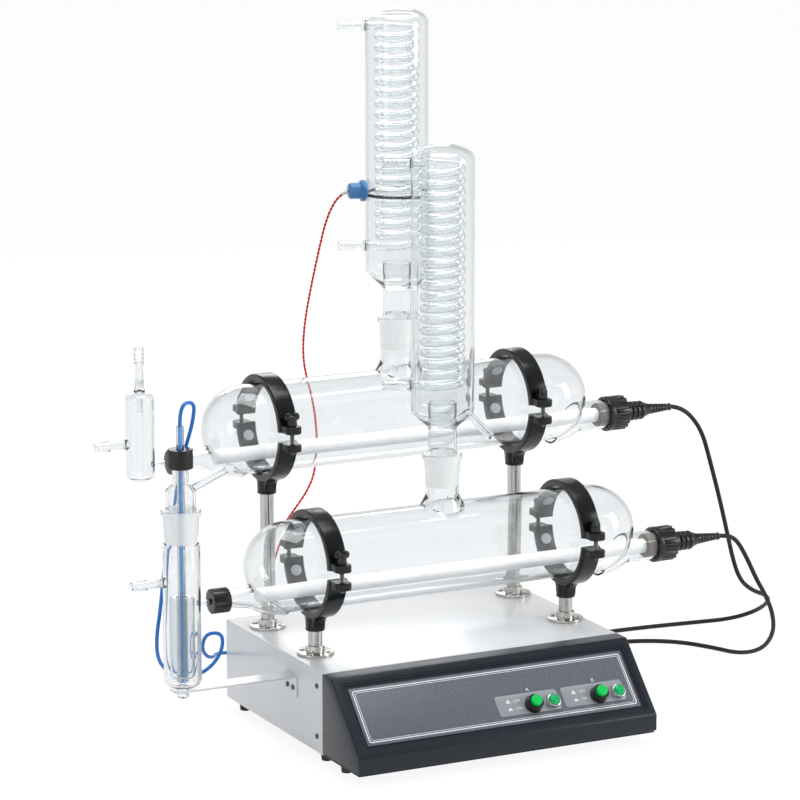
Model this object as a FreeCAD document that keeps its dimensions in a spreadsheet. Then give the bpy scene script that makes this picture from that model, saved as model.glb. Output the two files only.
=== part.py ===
import FreeCAD, Part
import math
import os
import re
from types import SimpleNamespace
import Sketcher
from FreeCAD import Placement, Rotation, Vector

# Glass double water distiller.
# Millimetres, Z up, X along the boilers, front panel towards -Y.
# The origin is on the bench surface under the middle of the sheet steel case.

SIZES = {
    # Base
    "case_width": 350.0,
    "case_depth": 240.0,
    "case_height": 88.0,
    "case_sheet": 1.2,
    "foot_height": 12.0,
    "foot_radius": 6.5,
    "foot_inset": 15.0,
    "foot_row_back": 103.0,
    "foot_row_middle": -100.0,
    "foot_row_front": -147.0,
    "bezel_flat": 20.5,
    "bezel_depth": 86.0,
    "bezel_lip": 17.9,
    "bezel_lift": 2.4,
    "bezel_wall": 3.0,
    "recess_depth": 1.5,
    "recess_top": 10.0,
    "recess_length": 76.0,
    "recess_side": 10.0,
    "panel_margin": 4.5,
    "panel_sheet": 1.5,
    "plate_sheet": 1.2,
    "plate_gap": 0.3,
    # Switches and lamps on the panel
    "control_row": 63.0,
    "switch_place": 37.5,
    "switch_pitch": 78.0,
    "lamp_offset": 23.0,
    "switch_ring_radius": 9.0,
    "switch_ring_height": 9.5,
    "switch_shank_radius": 7.6,
    "switch_shank_length": 24.0,
    "button_radius": 6.0,
    "button_rise": 4.0,
    "button_travel": 3.0,
    "button_gap": 0.15,
    "lamp_radius": 7.6,
    "lamp_height": 7.0,
    "lamp_shank_radius": 5.9,
    "lamp_shank_length": 20.0,
    "lens_radius": 6.2,
    "lens_height": 3.6,
    "lens_tip": 4.3,
    "lens_seat": 2.0,
    "hole_gap": 0.15,
    # Posts and flanges
    "post_middle": 2.0,
    "post_span": 300.0,
    "post_front": -48.0,
    "post_back": 70.0,
    "post_radius": 7.5,
    "post_wall": 1.2,
    "flange_radius": 19.6,
    "flange_thickness": 3.0,
    "flange_hub_radius": 10.0,
    "flange_hub_height": 7.0,
    "flange_screw_circle": 14.8,
    "flange_screw_radius": 1.5,
    "screw_head_radius": 2.8,
    "screw_head_height": 1.4,
    "screw_length": 6.0,
    "fit_gap": 0.05,
    # Clamps
    "clamp_clear": 2.5,
    "clamp_thickness": 7.0,
    "clamp_width": 21.0,
    "clamp_half_gap": 5.5,
    "ear_thickness": 8.0,
    "ear_bolt": 16.5,
    "ear_tip": 9.0,
    "socket_radius": 10.0,
    "socket_drop": 14.5,
    "socket_depth": 20.0,
    "web_width": 13.0,
    "web_reach": 38.0,
    "web_height": 25.0,
    "web_drop": 8.5,
    "wing_screw_radius": 2.4,
    "wing_screw_length": 36.0,
    "wing_hub_radius": 4.6,
    "wing_hub_height": 11.0,
    "wing_span": 8.5,
    "wing_thickness": 3.4,
    "wing_height": 9.0,
    "wing_lift": 5.5,
    "pad_radius": 6.0,
    "pad_depth": 3.0,
    "pad_arch_angle": 32.0,
    "pad_cradle_angle": 22.0,
    # Boilers
    "boiler_radius": 48.0,
    "boiler_straight": 358.0,
    "boiler_wall": 2.2,
    "boiler_front_middle": 1.5,
    "boiler_back_middle": 7.5,
    "boiler_front_height": 198.0,
    "boiler_back_height": 320.0,
    "neck_front_height": 102.0,
    "neck_back_height": 106.0,
    "neck_flare_radius": 24.0,
    "neck_flare_sink": 8.0,
    "neck_flare_height": 16.0,
    "port_drop": 27.0,
    "inlet_radius": 8.3,
    "inlet_root_radius": 14.0,
    "inlet_root": 26.0,
    "inlet_taper": 43.0,
    "inlet_length": 19.0,
    "heater_neck_radius": 16.0,
    "heater_neck_start": 20.0,
    "heater_neck_length": 73.0,
    # Ground joints, 34.5 mm large end, 1:10 taper
    "joint_radius": 17.25,
    "joint_length": 35.0,
    "joint_wall": 2.2,
    "run_gap": 0.3,
    "joint_bead": 21.3,
    "bead_height": 5.5,
    # Heaters
    "heater_radius": 8.0,
    "heater_wall": 1.5,
    "heater_stop": 9.5,
    "heater_left": 218.0,
    "stopper_insert": 26.0,
    "stopper_flange": 4.0,
    "stopper_neck_radius": 10.4,
    "nut_overlap": 15.5,
    "nut_length": 25.0,
    "nut_radius": 17.9,
    "nut_ribs": 16.0,
    "nut_rib_radius": 1.2,
    "nut_flange_radius": 19.5,
    "nut_flange_length": 7.5,
    "head_gland_radius": 10.9,
    "head_gland_length": 31.0,
    "relief_radius": 6.0,
    "relief_tip": 3.5,
    "relief_length": 30.0,
    "lead_diameter": 5.0,
    # Condensers
    "jacket_radius": 33.5,
    "glass_wall": 1.8,
    "stem_radius": 15.0,
    "stem_collar": 3.0,
    "jacket_seat": 0.9,
    "stem_front": 28.0,
    "stem_back": 32.0,
    "shoulder_height": 17.0,
    "jacket_foot": 28.0,
    "jacket_head": 20.0,
    "dome_depth": 17.0,
    "dome_knuckle": 12.0,
    "stem_rise": 10.0,
    "stem_bore": 13.2,
    "coil_turns": 20.0,
    "coil_pitch": 11.8,
    "coil_radius": 20.0,
    "coil_tube_radius": 4.2,
    "coil_bend": 6.0,
    "coil_gap": 0.05,
    "hose_radius": 5.6,
    "hose_core": 4.7,
    "hose_bore": 3.3,
    "hose_boss": 6.2,
    "hose_boss_length": 3.0,
    "hose_length": 30.0,
    "hose_ridges": 4.0,
    "hose_pitch": 4.5,
    "hose_angle": 153.0,
    "outlet_shift": 14.0,
    "outlet_radius": 4.3,
    "outlet_bore": 2.9,
    "outlet_length": 42.0,
    # Thermostat on the back condenser
    "thermostat_height": 564.0,
    "thermostat_angle": 167.0,
    "thermostat_radius": 8.6,
    "thermostat_length": 18.0,
    "thermostat_ring_radius": 11.6,
    "thermostat_ring_length": 4.5,
    "thermostat_wing": 17.0,
    "thermostat_wing_height": 13.0,
    "thermostat_wing_sheet": 2.5,
    "strap_thickness": 1.4,
    "strap_height": 4.4,
    "strap_drop": 4.0,
    "wire_diameter": 2.6,
    # Level devices
    "device_offset": 32.0,
    "cap_radius": 12.3,
    "cap_length": 19.0,
    "cap_end": 2.0,
    "cap_ribs": 20.0,
    "cap_rib_radius": 0.8,
    "port_radius": 3.2,
    "port_bore": 1.8,
    "port_insert": 8.0,
    "cup_radius": 15.5,
    "cup_foot": 276.0,
    "cup_shoulder": 373.0,
    "cup_top": 420.0,
    "cup_knuckle": 6.0,
    "cup_dome": 9.0,
    "cup_hose_height": 317.0,
    "cup_drop_end": 358.0,
    "side_hose_length": 37.0,
    "tube_radius": 19.6,
    "tube_knuckle": 8.0,
    "tube_dome": 11.0,
    "tube_foot": 82.3,
    "tube_collar": 272.0,
    "tube_hose_height": 197.0,
    "drain_radius": 6.4,
    "drain_drop": 11.0,
    "drain_knuckle": 3.0,
    "drain_dome": 4.0,
    "head_radius": 15.7,
    "head_shoulder": 293.0,
    "head_cap_foot": 315.5,
    "head_top": 333.0,
    "head_cap_length": 20.0,
    "head_neck_radius": 8.5,
    "stub_radius": 5.0,
    "stub_bore": 3.4,
    "stub_length": 43.0,
    "stub_rise": 18.0,
    "guide_radius": 4.0,
    "guide_wall": 1.0,
    "guide_top": 359.5,
    "guide_foot": 88.0,
    "guide_stop_radius": 6.5,
    "guide_stop_height": 4.2,
    "guide_stop_lift": 2.0,
    "float_radius": 13.0,
    "float_bore": 4.6,
    "float_height": 86.5,
    "sensor_radius": 2.2,
    "sensor_lead_diameter": 4.0,
    # Bracket under the controller
    "arm_width": 22.0,
    "arm_sheet": 2.0,
    "arm_overhang": 12.3,
    "arm_flange_height": 22.0,
    "arm_flange_width": 28.0,
    "arm_screw_pitch": 13.0,
    "arm_screw_drop": 31.0,
    # Screws in the sides, glands at the back
    "side_screw_inset": 12.0,
    "side_screw_high": 84.0,
    "side_screw_low": 30.0,
    "gland_height": 50.0,
    "gland_reach": 16.0,
    "lead_run": 35.0,
    "wire_run": 27.0,
    "gland_radius": 6.0,
    "gland_nut_radius": 8.5,
    "gland_nut_length": 6.0,
    "gland_tail": 8.0,
    "sensor_gland": -140.0,
    "thermostat_gland": -110.0,
    "thermostat_gland_height": 70.0,
    "mains_inlet": 20.0,
    "heater_gland_back": 110.0,
    "heater_gland_front": 145.0,
    "board_length": 130.0,
    "board_width": 80.0,
    "board_sheet": 1.6,
    "board_stand": 8.0,
    "board_stand_radius": 3.0,
    "board_margin": 6.0,
    "relay_length": 29.0,
    "relay_width": 13.0,
    "relay_height": 25.0,
}

doc = FreeCAD.newDocument("Distiller")
sheet = doc.addObject("Spreadsheet::Sheet", "Sizes")
for row_number, (alias, value) in enumerate(SIZES.items(), 1):
    sheet.set(f"A{row_number}", alias)
    sheet.set(f"B{row_number}", str(value))
    sheet.setAlias(f"B{row_number}", alias)
doc.recompute()
s = SimpleNamespace(**{alias: float(sheet.get(alias)) for alias in SIZES})

ALONG_X = Rotation(Vector(0, 1, 0), 90)
ALONG_MINUS_X = Rotation(Vector(0, 1, 0), -90)
ALONG_Y = Rotation(Vector(1, 0, 0), -90)
CROSSWISE = Rotation(Vector(1, 1, 1), 120)
ORIGIN = Vector(0, 0, 0)
UP = Vector(0, 0, 1)
SIDES = {"left": -1, "right": 1}
ROWS = ("front", "back")

subparts = []


# Helpers that bind document objects to the sheet

def formula(text):
    """Put the sheet's name before each alias in a formula."""
    return re.sub(r"[a-z]+(_[a-z]+)+", lambda word: "Sizes." + word.group(), text)


def bind(obj, prop, text):
    obj.setExpression(prop, formula(text))


def number(text):
    """The present value of a formula, worked out in a spare cell of the sheet."""
    sheet.set("D1", "=" + text)
    sheet.recompute()
    return float(sheet.get("D1"))


def primitive(kind, sizes, at=(), turn=None):
    """A Part solid of bound sizes, also bound in place where three formulas say where."""
    obj = doc.addObject(kind, "Solid")
    for prop, text in sizes.items():
        bind(obj, prop, text)
    obj.Placement = Placement(ORIGIN, turn or Rotation())
    for axis, text in zip("xyz", at):
        bind(obj, "Placement.Base." + axis, text)
    return obj


def cylinder(radius, height, at=(), turn=None):
    return primitive("Part::Cylinder", {"Radius": radius, "Height": height}, at, turn)


def cone(foot, top, height, at=(), turn=None):
    return primitive("Part::Cone", {"Radius1": foot, "Radius2": top, "Height": height}, at, turn)


def half_ball(radius, at, turn):
    """The half of a ball that bulges along its Z."""
    obj = primitive("Part::Sphere", {"Radius": radius}, at, turn)
    obj.Angle1 = 0
    return obj


def box(length, width, height, at=(), turn=None):
    return primitive("Part::Box", {"Length": length, "Width": width, "Height": height}, at, turn)


def fuse(*pieces):
    obj = doc.addObject("Part::MultiFuse", "Joined")
    obj.Shapes = list(pieces)
    return obj


def several(*pieces):
    obj = doc.addObject("Part::Compound", "Group")
    obj.Links = list(pieces)
    return obj


def cut(base, *tools):
    obj = doc.addObject("Part::Cut", "Cut")
    obj.Base = base
    obj.Tool = tools[0] if len(tools) == 1 else fuse(*tools)
    return obj


def common(base, tool):
    obj = doc.addObject("Part::Common", "Common")
    obj.Base = base
    obj.Tool = tool
    return obj


def subpart(label, obj):
    obj.Label = label
    subparts.append(obj)
    return obj


def feature(label, shape):
    """A sub-part whose shape comes from Part's own functions."""
    obj = doc.addObject("Part::Feature", "Feature")
    obj.Shape = shape
    obj.Placement = shape.Placement
    return subpart(label, obj)


def outline(body, role, points):
    """A closed sketch of straight lines on an origin plane, its corners bound to formulas."""
    plane = next(item for item in body.Origin.OriginFeatures if item.Role == role)
    sketch = body.newObject("Sketcher::SketchObject", "Outline")
    sketch.AttachmentSupport = [(plane, "")]
    sketch.MapMode = "FlatFace"
    values = [(number(across), number(along)) for across, along in points]
    spots = [Vector(across, along, 0) for across, along in values]
    count = len(spots)
    for index in range(count):
        sketch.addGeometry(Part.LineSegment(spots[index], spots[(index + 1) % count]), False)
    for index in range(count):
        sketch.addConstraint(Sketcher.Constraint("Coincident", index, 2, (index + 1) % count, 1))
    for index in range(count):
        for kind, text, value in zip(("DistanceX", "DistanceY"), points[index], values[index]):
            place = sketch.addConstraint(Sketcher.Constraint(kind, -1, 1, index, 1, value))
            bind(sketch, f"Constraints[{place}]", text)
    return sketch


def pad(body, sketch, length, midplane=True):
    obj = body.newObject("PartDesign::Pad", "Pad")
    obj.Profile = sketch
    obj.Midplane = midplane
    bind(obj, "Length", length)
    return obj


def pocket(body, sketch, length):
    obj = body.newObject("PartDesign::Pocket", "Pocket")
    obj.Profile = sketch
    obj.Midplane = True
    bind(obj, "Length", length)
    return obj


# Helpers for turned and swept shapes

def path(*points):
    """Straight edges through points given as radius and height."""
    spots = [Vector(radius, 0, height) for radius, height in points]
    return [Part.makeLine(start, end) for start, end in zip(spots, spots[1:])]


def dome(radius, tip, depth, knuckle):
    """Crown and knuckle arcs from the axis to the wall. A negative depth makes a bowl."""
    sign = 1 if depth > 0 else -1
    deep = abs(depth)
    crown = ((radius - knuckle) ** 2 + deep ** 2 - knuckle ** 2) / (2 * (deep - knuckle))
    meet = math.asin((radius - knuckle) / (crown - knuckle))

    def on_crown(angle):
        return Vector(crown * math.sin(angle), 0, tip - sign * crown * (1 - math.cos(angle)))

    def on_knuckle(angle):
        across = radius - knuckle + knuckle * math.sin(angle)
        return Vector(across, 0, tip - depth + sign * knuckle * math.cos(angle))

    middle = (meet + math.pi / 2) / 2
    return [Part.Arc(on_crown(0), on_crown(meet / 2), on_crown(meet)).toShape(),
            Part.Arc(on_knuckle(meet), on_knuckle(middle), on_knuckle(math.pi / 2)).toShape()]


def turned(edges):
    """The solid of revolution about Z of a closed outline."""
    wire = Part.Wire(Part.__sortEdges__(edges))
    body = Part.Face(wire).revolve(ORIGIN, UP, 360)
    if body.Volume < 0:
        body.reverse()
    return body


def rod(radius, foot, top):
    return turned(path((0, foot), (radius, foot), (radius, top), (0, top), (0, foot)))


def aimed(shape, at, direction):
    """A copy of a shape with its Z axis along a direction and its origin at a point."""
    copy = shape.copy()
    copy.Placement = Placement(at, Rotation(UP, direction))
    return copy


def heading(angle, rise=0.0):
    """Unit vector at an angle from X in plan, rising by a second angle."""
    turn, lift = math.radians(angle), math.radians(rise)
    return Vector(math.cos(turn) * math.cos(lift), math.sin(turn) * math.cos(lift), math.sin(lift))


def hollow(outer, inner):
    """Outer solids joined, with the inner ones taken out."""
    shell = outer[0].fuse(outer[1:]) if len(outer) > 1 else outer[0]
    shell = shell.cut(inner)
    return shell.Solids[0] if len(shell.Solids) == 1 else shell


def hose_barb(length):
    """A hose connection along Z with tapered ridges at its free end."""
    count = round(s.hose_ridges)
    start = length - count * s.hose_pitch
    points = [(0, 0), (s.hose_core, 0), (s.hose_core, start)]
    for ridge in range(count):
        points.append((s.hose_radius, start + ridge * s.hose_pitch))
        points.append((s.hose_core, start + (ridge + 1) * s.hose_pitch))
    points += [(0, length), (0, 0)]
    return turned(path(*points))


def arc_edge(start, corner, end):
    """The arc that leaves start towards corner and reaches end, both legs equal."""
    weight = (end - start).Length / 2 / (corner - start).Length
    middle = (start + corner * (2 * weight) + end) * (1 / (2 + 2 * weight))
    return Part.Arc(start, middle, end).toShape()


def biarc(start, leaving, end, arriving):
    """Two tangent arcs between two points with given directions."""
    span = end - start
    slope = span.dot(leaving + arriving)
    square = 2 * (leaving.dot(arriving) - 1)
    if abs(square) < 1e-9:
        leg = span.dot(span) / (2 * slope)
    else:
        leg = (slope - math.sqrt(slope ** 2 - square * span.dot(span))) / square
    first, second = start + leaving * leg, end - arriving * leg
    middle = (first + second) * 0.5
    return [arc_edge(start, first, middle), arc_edge(middle, second, end)]


def swept(edges, radius):
    """A round tube along tangent edges."""
    start = edges[0].valueAt(edges[0].FirstParameter)
    along = edges[0].tangentAt(edges[0].FirstParameter)
    ring = Part.Wire(Part.makeCircle(radius, start, along))
    return Part.Wire(edges).makePipeShell([ring], True, False)


def cord(label, diameter, points):
    """A free cord: straight runs joined by tangent arcs, with its radii printed."""
    spots = [Vector(*point) for point in points]
    edges, radii = [], []
    pen = spots[0]
    for before, corner, after in zip(spots, spots[1:], spots[2:]):
        run_in, run_out = corner - before, after - corner
        leg = 0.45 * min(run_in.Length, run_out.Length)
        radii.append(leg / math.tan(run_in.getAngle(run_out) / 2))
        start = corner - run_in.normalize() * leg
        end = corner + run_out.normalize() * leg
        edges.append(Part.makeLine(pen, start))
        edges.append(arc_edge(start, corner, end))
        pen = end
    edges.append(Part.makeLine(pen, spots[-1]))
    tube = swept(edges, diameter / 2)
    length = sum(edge.Length for edge in edges)
    expected = math.pi * (diameter / 2) ** 2 * length
    print(label, "length", round(length), "radii", [round(radius) for radius in radii],
          "volume error", round(tube.Volume / expected - 1, 4))
    return feature(label, tube)


# Places worked out from the sizes

top_height = s.foot_height + s.case_height
front_face = -s.case_depth / 2
back_face = s.case_depth / 2
left_face = -s.case_width / 2
row_y = {"front": s.post_front, "back": s.post_back}
row_z = {"front": s.boiler_front_height, "back": s.boiler_back_height}
row_x = {"front": s.boiler_front_middle, "back": s.boiler_back_middle}
row_neck = {"front": s.neck_front_height, "back": s.neck_back_height}
row_stem = {"front": s.stem_front, "back": s.stem_back}
device_x = {row: row_x[row] - s.boiler_straight / 2 - s.inlet_root - s.inlet_taper - s.inlet_length
            - s.cap_end - s.device_offset for row in ROWS}
joint_foot_radius = s.joint_radius - s.joint_length / 20

slope_top = Vector(0, front_face - s.bezel_flat, top_height)
slope_foot = Vector(0, front_face - s.bezel_depth, s.foot_height + s.bezel_lift + s.bezel_lip)
down_slope = (slope_foot - slope_top).normalize()
off_slope = Vector(0, down_slope.z, -down_slope.y)
slope_turn = Rotation(Vector(1, 0, 0), math.degrees(math.atan2(-down_slope.z, -down_slope.y)))


def on_slope(obj, x, down, out):
    """Stand a primitive on the sloping panel, its Z axis off the panel and its Y axis up it."""
    spot = slope_top + down_slope * down + off_slope * out + Vector(x, 0, 0)
    obj.Placement = Placement(spot, slope_turn)
    return obj


def slope_cylinder(radius, height, x, down, out):
    return on_slope(cylinder(radius, height), x, down, out)


def leaning_cylinder(radius, height, spot, direction):
    """A cylinder whose place and direction are worked out here."""
    obj = cylinder(radius, height)
    obj.Placement = Placement(spot, Rotation(UP, direction))
    return obj


# Base

def base_case():
    """Sheet steel hood, open below and in front, with every hole that something passes."""
    hood = cut(
        box("case_width", "case_depth", "case_height",
            ("-case_width / 2", "-case_depth / 2", "foot_height")),
        box("case_width - 2 * case_sheet", "case_depth - case_sheet + 1",
            "case_height - case_sheet + 1",
            ("-case_width / 2 + case_sheet", "-case_depth / 2 - 1", "foot_height - 1")))
    holes = [cylinder("flange_screw_radius + hole_gap", "3 * case_sheet",
                      (x, y, "foot_height + case_height - 2 * case_sheet"))
             for x, y in flange_screw_places()]
    for sign in SIDES.values():
        holes += [cylinder("flange_screw_radius + hole_gap", "3 * case_sheet",
                           (f"{sign} * case_width / 2 - 1.5 * case_sheet", y, z), ALONG_X)
                  for y, z in side_screw_places()]
    holes += [cylinder("flange_screw_radius + hole_gap", "3 * case_sheet",
                       ("-case_width / 2 - 1.5 * case_sheet", y, z), ALONG_X)
              for y, z in bracket_screw_places()]
    holes += [cylinder("gland_radius + hole_gap", "3 * case_sheet",
                       (x, "case_depth / 2 - 2 * case_sheet", z), ALONG_Y)
              for x, z in gland_places()]
    return subpart("base_case", cut(hood, *holes))


def post_places():
    return [(f"post_middle + {side} * post_span / 2", f"post_{row}")
            for row in ROWS for side in SIDES.values()]


def flange_screw_places():
    """Four screws on the diagonals round each post."""
    reach = "flange_screw_circle * sin(45 deg)"
    return [(f"{x} + {across} * {reach}", f"{y} + {along} * {reach}")
            for x, y in post_places() for across in (-1, 1) for along in (-1, 1)]


def side_screw_places():
    return [("-case_depth / 2 + side_screw_inset", height) for height in ("side_screw_high", "side_screw_low")]


def bracket_screw_places():
    height = "foot_height + case_height - arm_screw_drop"
    return [(f"post_front + {sign} * arm_screw_pitch / 2", height) for sign in (-1, 1)]


def gland_places():
    return [("sensor_gland", "gland_height"), ("thermostat_gland", "thermostat_gland_height"),
            ("mains_inlet", "gland_height"), ("heater_gland_back", "gland_height"),
            ("heater_gland_front", "gland_height")]


def bottom_plate():
    """Flat plate that closes the case and reaches under the bezel."""
    body = doc.addObject("PartDesign::Body", "Body")
    side = "case_width / 2 - case_sheet - plate_gap"
    front = "-case_depth / 2 - bezel_depth + bezel_wall"
    back = "case_depth / 2 - case_sheet - plate_gap"
    corners = [(f"-({side})", front), (side, front), (side, back), (f"-({side})", back)]
    plate = pad(body, outline(body, "XY_Plane", corners), "plate_sheet", midplane=False)
    bind(body, "Placement.Base.z", "foot_height")
    body.Tip = plate
    return subpart("bottom_plate", body)


def rubber_feet():
    """Three pairs of feet under the bottom plate."""
    feet = [cylinder("foot_radius", "foot_height", (f"{side} * (case_width / 2 - foot_inset)", row, "0"))
            for row in ("foot_row_back", "foot_row_middle", "foot_row_front")
            for side in SIDES.values()]
    return subpart("rubber_feet", several(*feet))


def front_bezel():
    """Hollow moulding in front of the case, with a sloping face that holds the panel."""
    body = doc.addObject("PartDesign::Body", "Body")
    case_front, top = "-case_depth / 2", "foot_height + case_height"
    flat_end, nose = "-case_depth / 2 - bezel_flat", "-case_depth / 2 - bezel_depth"
    foot = "foot_height + bezel_lift"
    lip = "foot_height + bezel_lift + bezel_lip"
    fall = "(case_height - bezel_lift - bezel_lip)"
    angle = f"atan({fall} / (bezel_depth - bezel_flat))"
    pad(body, outline(body, "YZ_Plane", [(case_front, top), (flat_end, top), (nose, lip),
                                         (nose, foot), (case_front, foot)]), "case_width")
    inside = [("-case_depth / 2 + 1", f"{top} - bezel_wall"),
              (f"{flat_end} + bezel_wall * tan({angle} / 2)", f"{top} - bezel_wall"),
              (f"{nose} + bezel_wall", f"{lip} - bezel_wall * tan((90 deg - {angle}) / 2)"),
              (f"{nose} + bezel_wall", f"{foot} + bezel_wall"),
              ("-case_depth / 2 + 1", f"{foot} + bezel_wall")]
    body.Tip = pocket(body, outline(body, "YZ_Plane", inside), "case_width - 2 * bezel_wall")
    recess = on_slope(box("case_width - 2 * recess_side", "recess_length", "recess_depth + 1"),
                      left_face + s.recess_side, s.recess_top + s.recess_length, -s.recess_depth)
    holes = []
    for column in range(2):
        x = s.switch_place + column * s.switch_pitch
        holes.append(slope_cylinder("switch_shank_radius + hole_gap", "4 * bezel_wall",
                                    x, s.control_row, -2 * s.bezel_wall))
        holes.append(slope_cylinder("lamp_shank_radius + hole_gap", "4 * bezel_wall",
                                    x + s.lamp_offset, s.control_row, -2 * s.bezel_wall))
    return subpart("front_bezel", cut(body, recess, *holes))


def fascia_panel():
    """Flat panel in the bezel's recess, pierced for the switches and lamps."""
    sheet_box = on_slope(box("case_width - 2 * recess_side - 2 * panel_margin",
                             "recess_length - 2 * panel_margin", "panel_sheet"),
                         left_face + s.recess_side + s.panel_margin,
                         s.recess_top + s.recess_length - s.panel_margin, -s.recess_depth)
    holes = []
    for column in range(2):
        x = s.switch_place + column * s.switch_pitch
        holes.append(slope_cylinder("switch_shank_radius + hole_gap", "3 * panel_sheet",
                                    x, s.control_row, -2 * s.panel_sheet))
        holes.append(slope_cylinder("lamp_shank_radius + hole_gap", "3 * panel_sheet",
                                    x + s.lamp_offset, s.control_row, -2 * s.panel_sheet))
    return subpart("fascia_panel", cut(sheet_box, *holes))


panel_face = s.panel_sheet - s.recess_depth


def switch_bodies():
    """Black collars with a well for the cap, on a threaded shank behind the panel."""
    bodies = []
    for column in range(2):
        x = s.switch_place + column * s.switch_pitch
        well_floor = panel_face + s.switch_ring_height - s.button_travel - s.button_rise - s.run_gap
        bodies.append(cut(
            fuse(slope_cylinder("switch_ring_radius", "switch_ring_height",
                                x, s.control_row, panel_face),
                 slope_cylinder("switch_shank_radius", "switch_shank_length",
                                x, s.control_row, panel_face - s.switch_shank_length)),
            slope_cylinder("button_radius + button_gap", "switch_ring_height",
                           x, s.control_row, well_floor)))
    return subpart("switch_bodies", several(*bodies))


def button(label, column):
    """Round green push cap that slides in its collar."""
    x = s.switch_place + column * s.switch_pitch
    foot = panel_face + s.switch_ring_height - s.button_rise
    cap = slope_cylinder("button_radius", "2 * button_rise", x, s.control_row, foot)
    return subpart(label, cap)


def lamp_housings():
    """Metal lamp bezels with a seat for the lens."""
    lamps = []
    for column in range(2):
        x = s.switch_place + column * s.switch_pitch + s.lamp_offset
        lamps.append(cut(
            fuse(slope_cylinder("lamp_radius", "lamp_height", x, s.control_row, panel_face),
                 slope_cylinder("lamp_shank_radius", "lamp_shank_length",
                                x, s.control_row, panel_face - s.lamp_shank_length)),
            slope_cylinder("lens_radius + fit_gap", "lamp_height",
                           x, s.control_row, panel_face + s.lamp_height - s.lens_seat)))
    return subpart("lamp_housings", several(*lamps))


def lamp_lenses():
    """Lenses on their seats, each a drum with a bevelled top."""
    lenses = []
    for column in range(2):
        x = s.switch_place + column * s.switch_pitch + s.lamp_offset
        seat = panel_face + s.lamp_height - s.lens_seat
        top = cone("lens_radius", "lens_tip", "lens_height")
        lenses.append(fuse(
            slope_cylinder("lens_radius", "lens_seat", x, s.control_row, seat),
            on_slope(top, x, s.control_row, seat + s.lens_seat)))
    return subpart("lamp_lenses", several(*lenses))


def screw(at, turn=None):
    """A pan head screw whose head sits on the face at the given place."""
    obj = fuse(cylinder("screw_head_radius", "screw_head_height"),
               cylinder("flange_screw_radius", "screw_length", ("0", "0", "-screw_length")))
    obj.Placement = Placement(ORIGIN, turn or Rotation())
    for axis, text in zip("xyz", at):
        bind(obj, "Placement.Base." + axis, text)
    return obj


def case_screws():
    """Screws in the sides of the case, and the two that hold the bracket."""
    screws = []
    for sign, turn in ((1, ALONG_X), (-1, ALONG_MINUS_X)):
        screws += [screw((f"{sign} * case_width / 2", y, z), turn) for y, z in side_screw_places()]
    screws += [screw(("-case_width / 2 - arm_sheet", y, z), ALONG_MINUS_X)
               for y, z in bracket_screw_places()]
    return subpart("case_screws", several(*screws))


def flange_screws():
    top = "foot_height + case_height + flange_thickness"
    return subpart("flange_screws", several(*[screw((x, y, top)) for x, y in flange_screw_places()]))


def post_flanges():
    """Round flanges with a hub, screwed to the top of the case."""
    top = "foot_height + case_height"
    flanges = []
    for x, y in post_places():
        holes = [cylinder("flange_screw_radius + hole_gap", "flange_thickness + 2",
                          (f"{x} + {across} * flange_screw_circle * sin(45 deg)",
                           f"{y} + {along} * flange_screw_circle * sin(45 deg)", f"{top} - 1"))
                 for across in (-1, 1) for along in (-1, 1)]
        flanges.append(cut(
            fuse(cylinder("flange_radius", "flange_thickness", (x, y, top)),
                 cylinder("flange_hub_radius", "flange_thickness + flange_hub_height", (x, y, top))),
            cylinder("post_radius + fit_gap", "flange_thickness + flange_hub_height + 2",
                     (x, y, f"{top} - 1")), *holes))
    return subpart("post_flanges", several(*flanges))


def support_posts():
    """Steel tubes from the case up into the clamp sockets."""
    foot = "foot_height + case_height"
    posts = []
    for row in ROWS:
        rise = (f"boiler_{row}_height - ({foot}) - boiler_radius - clamp_clear - clamp_thickness"
                " - socket_drop + socket_depth")
        for side in SIDES.values():
            x, y = f"post_middle + {side} * post_span / 2", f"post_{row}"
            posts.append(cut(cylinder("post_radius", rise, (x, y, foot)),
                             cylinder("post_radius - post_wall", f"{rise} + 2",
                                      (x, y, f"{foot} - 1"))))
    return subpart("support_posts", several(*posts))


def rear_glands():
    """Cable glands and the mains inlet through the back of the case."""
    glands = [fuse(cylinder("gland_nut_radius", "gland_nut_length", (x, "case_depth / 2", z), ALONG_Y),
                   cylinder("gland_radius", "gland_reach + gland_tail",
                            (x, "case_depth / 2 - gland_tail", z), ALONG_Y))
              for x, z in gland_places()]
    return subpart("rear_glands", several(*glands))


def control_board():
    """Circuit board on pillars inside the case, with a relay for each heater."""
    foot = "foot_height + plate_sheet"
    deck = f"{foot} + board_stand"
    pieces = [box("board_length", "board_width", "board_sheet",
                  ("-board_length / 2", "-board_width / 2", deck))]
    for across in (-1, 1):
        for along in (-1, 1):
            pieces.append(cylinder("board_stand_radius", "board_stand",
                                   (f"{across} * (board_length / 2 - board_margin)",
                                    f"{along} * (board_width / 2 - board_margin)", foot)))
    for place in (-1, 1):
        pieces.append(box("relay_length", "relay_width", "relay_height",
                          (f"{place} * board_length / 4 - relay_length / 2",
                           "-relay_width / 2", f"{deck} + board_sheet")))
    return subpart("control_board", fuse(*pieces))


# Clamps

def bolt_place(row, sign):
    return f"post_{row} + {sign} * (boiler_radius + ear_bolt)"


def clamp_pad(row, side, angle):
    """A silicone disc bonded into the ring, its back shaped by the ring."""
    direction = Vector(0, math.cos(math.radians(angle)), math.sin(math.radians(angle)))
    axis = Vector(s.post_middle + side * s.post_span / 2, row_y[row], row_z[row])
    disc = leaning_cylinder("pad_radius", "pad_depth",
                            axis + direction * (s.boiler_radius + s.run_gap), direction)
    ring_bore = cylinder("boiler_radius + clamp_clear", "clamp_width", clamp_start(row, side), ALONG_X)
    return common(disc, ring_bore)


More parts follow.
